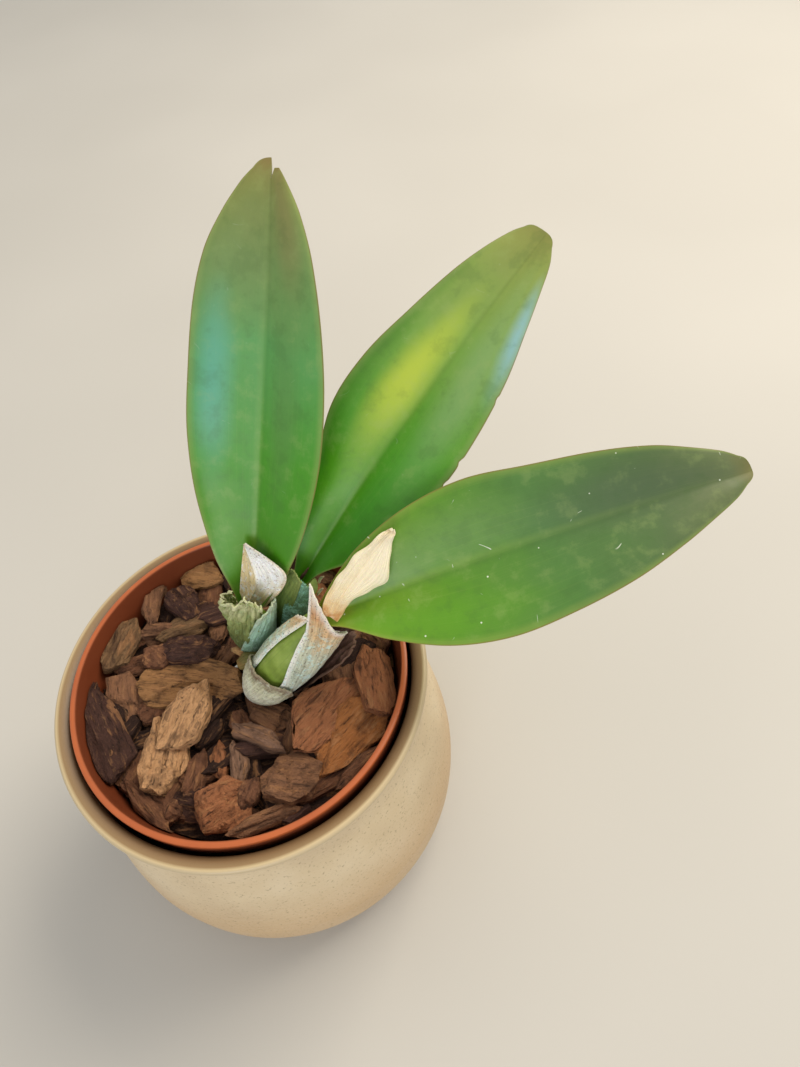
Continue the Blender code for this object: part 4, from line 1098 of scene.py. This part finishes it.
def make_leaf(name, leaf, rows, columns):
    """A leaf: a grid folded along its midrib, drawn to its outline, split at its tip, then thickened."""
    width_of = leaf_width(leaf, LEAF_NICKS.get(name, ()))
    length = (leaf["tip"] - leaf["base"]).length
    split_from = 1.0 - leaf.get("split", 0.0) / length
    first_right = 0.5 / columns
    lobe_rate = leaf.get("short_lobe", 0.0) / max(leaf.get("split", 1.0), 1.0)
    side = across((leaf["tip"] - leaf["middle"]).normalized(), leaf["facing"])[1]

    def place(across_share, along):
        u = 2 * across_share - 1
        t = closer_rows(along)
        apart = max(t - split_from, 0.0)
        if u < first_right or not apart:
            return blade_point(leaf, u, t, width_of)
        opened = leaf.get("spread", 0.0) * apart / (1.0 - split_from) * (1.0 - u)
        return blade_point(leaf, u, t - lobe_rate * apart, width_of) + side * opened

    piece = shaped_grid(name + "_blade", rows, columns, place)
    if leaf.get("split"):
        open_split(piece, columns, split_from)
    thin_edges(piece)
    modify(piece, "SOLIDIFY", thickness=LEAF_THICKNESS * MM, offset=-1.0, use_rim=True, vertex_group="body")
    return piece


def thin_edges(piece):
    """Weighs the blade's points for its thickness: full in the middle, thin at its edges and tip."""
    body = piece.vertex_groups.new(name="body")
    for loop, corner in zip(piece.data.loops, piece.data.uv_layers.active.data):
        across_share, along = corner.uv
        near = min(step(0.5, 0.38, abs(across_share - 0.5)), step(1.0, 0.93, along))
        body.add([loop.vertex_index], EDGE + (1.0 - EDGE) * near, "REPLACE")


def open_split(piece, columns, split_from):
    """Deletes the thin faces just right of the midrib, from where the tip is split."""
    deselect()
    bpy.context.view_layer.objects.active = piece
    edit_all()
    bpy.ops.mesh.select_all(action="DESELECT")
    bpy.ops.mesh.select_mode(type="FACE")
    edit = bmesh.from_edit_mesh(piece.data)
    uv = edit.loops.layers.uv.active
    for face in edit.faces:
        middle = sum((loop[uv].uv for loop in face.loops), Vector((0.0, 0.0))) / len(face.loops)
        face.select_set(0.5 < middle.x < 0.5 + 1.0 / columns and closer_rows(middle.y) > split_from)
    bmesh.update_edit_mesh(piece.data)
    bpy.ops.mesh.delete(type="FACE")
    bpy.ops.mesh.select_mode(type="VERT")
    bpy.ops.object.mode_set(mode="OBJECT")


def wrap_point(bulb, wrap, cross, share):
    """A point on the inner face of a sheath round a bulb. cross runs round it and share up it."""
    line, radii, seed = bulb["line"], bulb["radii"], wrap["seed"]
    torn = wrap.get("torn", 0.0) * (rough(cross * 9.0, seed) + 0.5 * rough(cross * 27.0, seed))
    low, high = even(wrap["foot"], cross), even(wrap["top"], cross) + torn
    at = low + (high - low) * share
    inside = min(max(at, 0.0), 1.0)
    start, end = even(wrap["from"], share), even(wrap["to"], share)
    where, direction, out = round_line(line, inside, math.radians(start + (end - start) * cross))
    where = where + direction * (at - inside) * (line[-1] - line[0]).length
    radius = max(even(radii, min(inside, wrap.get("keeps_width_from", 1.0))), radii[-1])
    reach = radius + SHEATH_GAP + wrap.get("layer", 0) * SHEATH_LAYER + even(wrap["flare"], cross) * share**2
    crumple = wrap.get("crumple", 0.15)
    reach += crumple * rough(cross * 11.0, share * 5.0, seed) * (0.3 + share)
    reach += crumple * 0.6 * rough(cross * 29.0, share * 12.0, seed) * (0.2 + share)
    reach += wrap.get("ribs", 0.08) * math.sin(cross * wrap.get("rib_count", 24) * math.tau)
    reach += wrap.get("curl", 0.0) * step(0.82, 1.0, share)
    if "horn" in wrap:
        rise = step(wrap["horn_root"], 1.0, share) * share
        near = max(0.0, 1.0 - cross / wrap["horn_width"])
        where = where + wrap["horn"] * (rise * near ** wrap["horn_bend"])
    return where + out * reach


# Sheaths round the bulbs. From and to are degrees round the bulb, read up the sheath. Foot, top and flare are
# read round it: the shares of the bulb's height where it starts and ends, and how far its top stands off.
WRAPS = {
    "sheath_right_cup": {
        "on": "pseudobulb_right", "look": "cup", "slot": "grey_green_sheath", "seed": 3,
        "rows": 36, "columns": 80, "layer": 1.0, "torn": 0.010, "crumple": 0.4, "curl": 0.3,
        "from": (-130, -118), "to": (56, 66), "foot": (0.10, 0.08, 0.08, 0.14),
        "top": (0.34, 0.44, 0.48, 0.51, 0.52, 0.40), "flare": (0.2, 0.3, 0.2, 0.1, 0.1, -0.4),
    },
    "sheath_right_wrap": {
        "on": "pseudobulb_right", "look": "grey", "slot": "grey_green_sheath", "seed": 5,
        "rows": 70, "columns": 130, "torn": 0.012, "crumple": 0.5,
        "from": (14, 10, -2, -12, -22, -34), "to": (302, 300, 298, 298, 304, 316),
        "horn": Vector((2.2, 5.2, 14.5)), "horn_width": 0.24, "horn_root": 0.84, "horn_bend": 1.3,
        "foot": (0.44, 0.32, 0.24, 0.26, 0.28, 0.32, 0.38), "top": (1.02, 1.05, 1.02, 0.80, 0.74, 0.92, 1.02),
        "flare": (0.8, 1.2, 5.6, 2.4, 0.7, 0.7, 0.2),
    },
    "sheath_right_brown": {
        "on": "pseudobulb_right", "look": "brown", "slot": "brown_sheath", "seed": 8,
        "rows": 34, "columns": 30, "layer": 2, "torn": 0.03, "crumple": 1.2,
        "from": (86, 86), "to": (150, 150), "foot": (0.26, 0.30, 0.34),
        "top": (0.90, 0.96, 0.84), "flare": (7.5, 6.5, 3.5),
    },
    "sheath_left_crumpled": {
        "on": "pseudobulb_left", "look": "straw", "slot": "straw_green_sheath", "seed": 12,
        "rows": 90, "columns": 110, "layer": 0.3, "torn": 0.05, "crumple": 1.9, "curl": -0.9,
        "ribs": 0.16, "rib_count": 17, "keeps_width_from": 0.6,
        "from": (-140, -136), "to": (28, 34), "foot": (0.40, 0.42, 0.44, 0.44),
        "top": (1.12, 1.38, 1.72, 1.90, 1.60), "flare": (2.2, 3.2, 2.4, 0.4, -0.8),
    },
    "sheath_left_silver": {
        "on": "pseudobulb_left", "look": "silver", "slot": "silver_green_sheath", "seed": 14,
        "rows": 46, "columns": 46, "layer": 1.0, "torn": 0.02, "crumple": 0.5, "keeps_width_from": 0.7,
        "from": (-34, -8, 12), "to": (104, 104), "foot": (0.36, 0.36, 0.36),
        "top": (1.56, 1.66, 1.46), "flare": (1.6, 0.0, -0.8),
    },
    "sheath_middle": {
        "on": "pseudobulb_middle", "look": "olive", "slot": "olive_sheath", "seed": 17,
        "rows": 46, "columns": 52, "torn": 0.01, "crumple": 0.3, "keeps_width_from": 0.7,
        "from": (-104, -100), "to": (24, -22), "foot": (0.25, 0.25, 0.25),
        "top": (1.02, 1.32, 1.36), "flare": (0.6, 0.9, 1.2),
    },
    "sheath_middle_flaking": {
        "on": "pseudobulb_middle", "look": "flaking", "slot": "olive_sheath", "seed": 23,
        "rows": 46, "columns": 52, "layer": 0.5, "torn": 0.06, "crumple": 0.3,
        "from": (-16, -26), "to": (76, 46), "foot": (0.30, 0.30, 0.30),
        "top": (1.34, 1.26, 0.80), "flare": (0.9, 0.7, 0.3),
    },
}


def make_wrap(name, wrap):
    """A dry sheath round a bulb, crumpled, ribbed and torn along its top."""
    place = functools.partial(wrap_point, BULBS[wrap["on"]], wrap)
    piece = shaped_grid(name + "_papery", wrap["rows"], wrap["columns"], place)
    modify(piece, "SOLIDIFY", thickness=SHEATH * MM, offset=1.0, use_rim=True)
    outward(piece)
    return piece


def make_papery_sheath():
    """The pointed scale in front of the left leaf: tan left of the ridge from its tip, white right of it."""

    def place(u, v):
        left, right = place_on(PAPERY_LEFT, v), place_on(PAPERY_RIGHT, v)
        spread = (right - left).length
        width, hollow = (PAPERY_RIDGE, 1.5) if u < PAPERY_RIDGE else (1.0 - PAPERY_RIDGE, 0.95)
        ridge = max(0.0, 1.0 - abs(u - PAPERY_RIDGE) / width) ** hollow
        hem = 0.6 * math.exp(-(((u - 1.0) / 0.12) ** 2)) * math.sin(math.pi * v)
        swell = 0.32 * spread * ridge * (0.35 + 0.65 * v) + hem
        ribs = 0.16 * math.sin(u * 9 * math.tau) * step(0.0, 0.3, v) * min(spread / 8.0, 1.0)
        crumple = 0.5 * rough(u * 4.0, v * 4.0, 2.0) + 0.25 * rough(u * 9.0, v * 9.0, 5.0)
        return left.lerp(right, u) + VIEWER_SIDE * (swell + ribs + crumple * min(spread / 8.0, 1.0))

    piece = shaped_grid("sheath_left_papery_scale", 70, 80, place)
    modify(piece, "SOLIDIFY", thickness=SHEATH * MM, offset=-1.0, use_rim=True)
    return piece


def make_flower_sheath():
    """The old flower sheath: a tan, parallel-veined blade that lies over the right leaf's base."""

    def width_of(u, t):
        width = smooth(STATIONS, FLOWER_SHEATH["right"] if u > 0 else FLOWER_SHEATH["left"], t)
        return width + 0.35 * math.sin(t * 23.0) * step(0.2, 0.5, t) * step(0.7, 1.0, abs(u))

    def place(across_share, along):
        u = 2 * across_share - 1
        point = blade_point(FLOWER_SHEATH, u, along, width_of, base_fold=30.0, arch=0.9, waves=0.25)
        return point + VIEWER_SIDE * 0.10 * math.sin(across_share * 15 * math.tau)

    piece = shaped_grid("sheath_right_flower_blade", 60, 90, place)
    modify(piece, "SOLIDIFY", thickness=SHEATH * MM, offset=-1.0, use_rim=True)
    return piece


def make_shreds():
    """Thin curled shreds along the torn top of the crumpled sheath."""
    dice = random.Random(21)
    bulb, wrap = BULBS["pseudobulb_left"], WRAPS["sheath_left_crumpled"]
    made = []
    for i in range(10):
        cross = 0.24 + 0.60 * i / 9
        start = wrap_point(bulb, wrap, cross, dice.uniform(0.88, 0.97))
        lean = Vector((dice.uniform(-0.4, 1.2), dice.uniform(-1.4, 0.2), dice.uniform(0.0, 0.8)))
        curl = Vector((dice.uniform(-0.8, 1.4), dice.uniform(-1.6, 0.2), dice.uniform(-1.2, 0.2)))
        line = (start, start + lean, start + lean * 1.4 + curl, start + lean * 0.9 + curl * 1.8)
        made.append(make_small_stem("shred_%d" % i, line, (0.5, 0.42, 0.34, 0.2), 6, 10, 0.05))
    return joined("sheath_left_shreds", made)


SMALL_STEMS = {
    "old_shoot_withered": {
        "line": line_through((6.6, 8.6, 101.5), (2.4, 7.8, 105.6), (-2.6, 6.6, 105.0)),
        "radii": (3.4, 4.4, 2.0), "bumps": 0.8, "look": "withered", "slot": "olive_sheath",
    },
    "old_shoot_husk": {
        "line": line_through((1.6, 10.6, 105.0), (-2.0, 11.7, 106.8), (-5.0, 13.2, 105.6)),
        "radii": (1.3, 1.7, 0.6), "bumps": 0.6, "look": "tan", "slot": "tan_sheath",
    },
    "old_shoot_tip": {
        "line": line_through((-1.9, 6.4, 105.0), (-3.2, 5.9, 105.6), (-4.3, 5.2, 105.0)),
        "radii": (0.7, 0.6, 0.3), "look": "papery", "slot": "tan_sheath",
    },
    "dead_bud": {
        "line": line_through((26.0, 23.6, 131.4), (27.6, 24.2, 133.2), (29.6, 25.2, 135.2)),
        "radii": (0.6, 0.6, 0.2), "look": "brown", "slot": "brown_sheath",
    },
    "cut_stub_upper": {
        "line": line_through((31.6, 24.4, 126.0), (32.8, 23.8, 129.4), (34.3, 22.8, 132.0)),
        "radii": (0.4, 0.5, 0.2), "look": "flower", "slot": "tan_sheath",
    },
    "cut_stub_lower": {
        "line": line_through((30.6, 20.6, 124.0), (32.0, 19.8, 127.4), (33.4, 19.2, 130.0)),
        "radii": (0.4, 0.55, 0.2), "look": "flower", "slot": "tan_sheath",
    },
}


# The add-on's settings


class OrchidPots(bpy.types.PropertyGroup):
    """How finely the two pots are turned."""

    sides: bpy.props.IntProperty(
        name="Sides", description="Sides of the round pots", default=144, min=24, max=256
    )


class OrchidBark(bpy.types.PropertyGroup):
    """How finely the bark is cut."""

    upper_cuts: bpy.props.IntProperty(
        name="Upper cuts", description="Cuts across each face of a chip that shows", default=18, min=4, max=24
    )
    lower_cuts: bpy.props.IntProperty(
        name="Lower cuts", description="Cuts across each face of a chip below them", default=9, min=3, max=16
    )


class OrchidLeaves(bpy.types.PropertyGroup):
    """How finely the leaves are cut."""

    rows: bpy.props.IntProperty(
        name="Rows", description="Rows of faces along a leaf", default=150, min=20, max=300
    )
    columns: bpy.props.IntProperty(
        name="Columns", description="Columns of faces across a leaf", default=72, min=8, max=160
    )


class OrchidStage(bpy.types.PropertyGroup):
    """The light round the plant."""

    window_power: bpy.props.FloatProperty(
        name="Window", description="Power of the low cool light, in watts", default=8.0, min=0.0
    )
    key_power: bpy.props.FloatProperty(
        name="Key", description="Power of the large warm light, in watts", default=19.0, min=0.0
    )
    room_light: bpy.props.FloatProperty(
        name="Room", description="Strength of the even light from all round", default=0.70, min=0.0
    )
    floor_size: bpy.props.FloatProperty(
        name="Floor", description="Side of the floor", default=6.0, min=1.0, unit="LENGTH"
    )


# Operators


class ORCHID_OT_pots(bpy.types.Operator):
    """Model the cachepot and the grow pot"""

    bl_idname = "orchid.pots"
    bl_label = "Pots"

    def execute(self, context):
        sides = context.scene.orchid_pots.sides
        finish_piece(make_cachepot(sides), stoneware_material(), ["cachepot"])
        finish_piece(make_grow_pot(sides), plastic_material(), ["grow_pot"], 40.0)
        return {"FINISHED"}


class ORCHID_OT_bark(bpy.types.Operator):
    """Model the bark chips and what lies under them"""

    bl_idname = "orchid.bark"
    bl_label = "Bark"

    def execute(self, context):
        cuts = context.scene.orchid_bark
        bark = bark_material()
        bed, shown = make_bark_bed(BED_SIDES), make_shown_chips(cuts.upper_cuts)
        for piece in (bed, shown, make_filler_chips(cuts.lower_cuts)):
            finish_piece(piece, bark, ["bark_mix"], 38.0)
        return {"FINISHED"}


class ORCHID_OT_stems(bpy.types.Operator):
    """Model the rhizome, its roots, the pseudobulbs and the small stems"""

    bl_idname = "orchid.stems"
    bl_label = "Stems"

    def execute(self, context):
        rhizome = refined_copy("rhizome_and_roots", "rhizome_scaly")
        modify(rhizome, "SUBSURF", levels=1, render_levels=1)
        finish_piece(rhizome, root_material(), ["rhizome_and_roots"], 180.0)
        skin = bulb_material()
        for name, bulb in BULBS.items():
            finish_piece(make_bulb(name, bulb), skin, [name], 180.0)
        for name, stem in SMALL_STEMS.items():
            look = sheath_material("withered_" + name, **SHEATH_LOOKS[stem["look"]], fibres=24.0)
            piece = make_small_stem(name, stem["line"], stem["radii"], bumps=stem.get("bumps", 0.15))
            stands_for = ["old_shoot"] if name.startswith("old_shoot") else []
            finish_piece(piece, look, stands_for, 180.0)
        return {"FINISHED"}


class ORCHID_OT_leaves(bpy.types.Operator):
    """Model the leaves"""

    bl_idname = "orchid.leaves"
    bl_label = "Leaves"

    def execute(self, context):
        cuts = context.scene.orchid_leaves
        for name, leaf in LEAVES.items():
            piece = make_leaf(name, leaf, cuts.rows, cuts.columns)
            look = leaf_material("waxy_" + name, **LEAF_LOOKS[name])
            finish_piece(piece, look, [name], 70.0)
        return {"FINISHED"}


class ORCHID_OT_sheaths(bpy.types.Operator):
    """Model the dry sheaths"""

    bl_idname = "orchid.sheaths"
    bl_label = "Sheaths"

    def execute(self, context):
        for name, wrap in WRAPS.items():
            look = sheath_material("dry_" + name, **SHEATH_LOOKS[wrap["look"]])
            stands_for = [name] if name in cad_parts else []
            finish_piece(make_wrap(name, wrap), look, stands_for, 80.0)
        straw = sheath_material("dry_shreds", **SHEATH_LOOKS["straw"], fibres=12.0)
        finish_piece(make_shreds(), straw, ["sheath_left_crumpled"], 180.0)
        papery = SHEATH_LOOKS["papery"]
        white = sheath_material("dry_ribbed_scale", **papery, fibres=34.0, left_face="#f2dca8")
        finish_piece(make_papery_sheath(), white, ["sheath_left_papery"], 80.0)
        tan = sheath_material("dry_flower_sheath", **SHEATH_LOOKS["flower"], fibres=30.0)
        finish_piece(make_flower_sheath(), tan, ["sheath_right_flower"], 80.0)
        return {"FINISHED"}


class ORCHID_OT_stage(bpy.types.Operator):
    """Set up the floor, the light and the camera"""

    bl_idname = "orchid.stage"
    bl_label = "Stage"

    def execute(self, context):
        settings = context.scene.orchid_stage
        deselect()
        bpy.ops.mesh.primitive_plane_add(size=settings.floor_size, location=(0.0, 0.0, 0.0))
        floor = named("floor")
        floor.data.materials.append(floor_material())
        soft_light("key_light", (0.75, 0.55, 1.15), 0.9, settings.key_power, "#fff4e2")
        soft_light("window_light", (-0.30, -1.35, 0.42), 0.7, settings.window_power, "#f2f5ff", 0.15)
        world = bpy.data.worlds.new("even_room_light")
        world.use_nodes = True
        background = world.node_tree.nodes["Background"]
        background.inputs["Color"].default_value = linear("#f4f3f0")
        background.inputs["Strength"].default_value = settings.room_light
        context.scene.world = world
        context.scene.view_settings.view_transform = "Standard"
        make_camera(context.scene)
        return {"FINISHED"}


def soft_light(name, place, size, power, colour, shine=1.0):
    """A square area light at a place in metres, aimed at the plant."""
    bpy.ops.object.light_add(type="AREA", location=place)
    light = bpy.context.object
    light.name = name
    light.data.shape = "SQUARE"
    light.data.size = size
    light.data.energy = power
    light.data.color = linear(colour)[:3]
    light.data.specular_factor = shine
    aim = Vector((0.03, 0.01, 0.12)) - Vector(place)
    light.rotation_euler = aim.to_track_quat("-Z", "Y").to_euler()


def make_camera(scene):
    """The photograph's own view, worked out from the two rims and the pot's outline."""
    down, roll = math.radians(CAMERA_DOWN), math.radians(CAMERA_ROLL)
    ahead = Vector((0.0, math.cos(down), -math.sin(down)))
    below = Vector((0.0, -math.sin(down), -math.cos(down)))
    right = Vector((1.0, 0.0, 0.0))
    x_axis = math.cos(roll) * right - math.sin(roll) * below
    y_axis = -(math.sin(roll) * right + math.cos(roll) * below)
    bpy.ops.object.camera_add()
    camera = bpy.context.object
    camera.name = "photo_camera"
    camera.data.sensor_width = SENSOR
    camera.data.lens = FOCAL_PIXELS * SENSOR / PHOTO_HEIGHT
    camera.data.clip_start = 0.01
    matrix = Matrix((x_axis, y_axis, -ahead)).transposed().to_4x4()
    matrix.translation = CAMERA_PLACE * MM
    camera.matrix_world = matrix
    scene.camera = camera


class ORCHID_PT_panel(bpy.types.Panel):
    """The steps that dress the orchid, in order"""

    bl_idname = "ORCHID_PT_panel"
    bl_label = "Orchid"
    bl_space_type = "VIEW_3D"
    bl_region_type = "UI"
    bl_category = "Orchid"

    def draw(self, context):
        scene = context.scene
        self.layout.prop(scene.orchid_pots, "sides")
        self.layout.operator("orchid.pots")
        self.layout.prop(scene.orchid_bark, "upper_cuts")
        self.layout.prop(scene.orchid_bark, "lower_cuts")
        self.layout.operator("orchid.bark")
        self.layout.operator("orchid.stems")
        self.layout.prop(scene.orchid_leaves, "rows")
        self.layout.prop(scene.orchid_leaves, "columns")
        self.layout.operator("orchid.leaves")
        self.layout.operator("orchid.sheaths")
        for name in ("window_power", "key_power", "room_light", "floor_size"):
            self.layout.prop(scene.orchid_stage, name)
        self.layout.operator("orchid.stage")


SETTINGS = {
    "orchid_pots": OrchidPots,
    "orchid_bark": OrchidBark,
    "orchid_leaves": OrchidLeaves,
    "orchid_stage": OrchidStage,
}
CLASSES = (
    *SETTINGS.values(),
    ORCHID_OT_pots,
    ORCHID_OT_bark,
    ORCHID_OT_stems,
    ORCHID_OT_leaves,
    ORCHID_OT_sheaths,
    ORCHID_OT_stage,
    ORCHID_PT_panel,
)


def register():
    for made in CLASSES:
        bpy.utils.register_class(made)
    for name, group in SETTINGS.items():
        setattr(bpy.types.Scene, name, bpy.props.PointerProperty(type=group))


def unregister():
    for name in SETTINGS:
        delattr(bpy.types.Scene, name)
    for made in reversed(CLASSES):
        bpy.utils.unregister_class(made)


def main():
    register()
    bpy.ops.orchid.pots()
    bpy.ops.orchid.bark()
    bpy.ops.orchid.stems()
    bpy.ops.orchid.leaves()
    bpy.ops.orchid.sheaths()
    bpy.ops.orchid.stage()


if __name__ == "__main__":
    main()
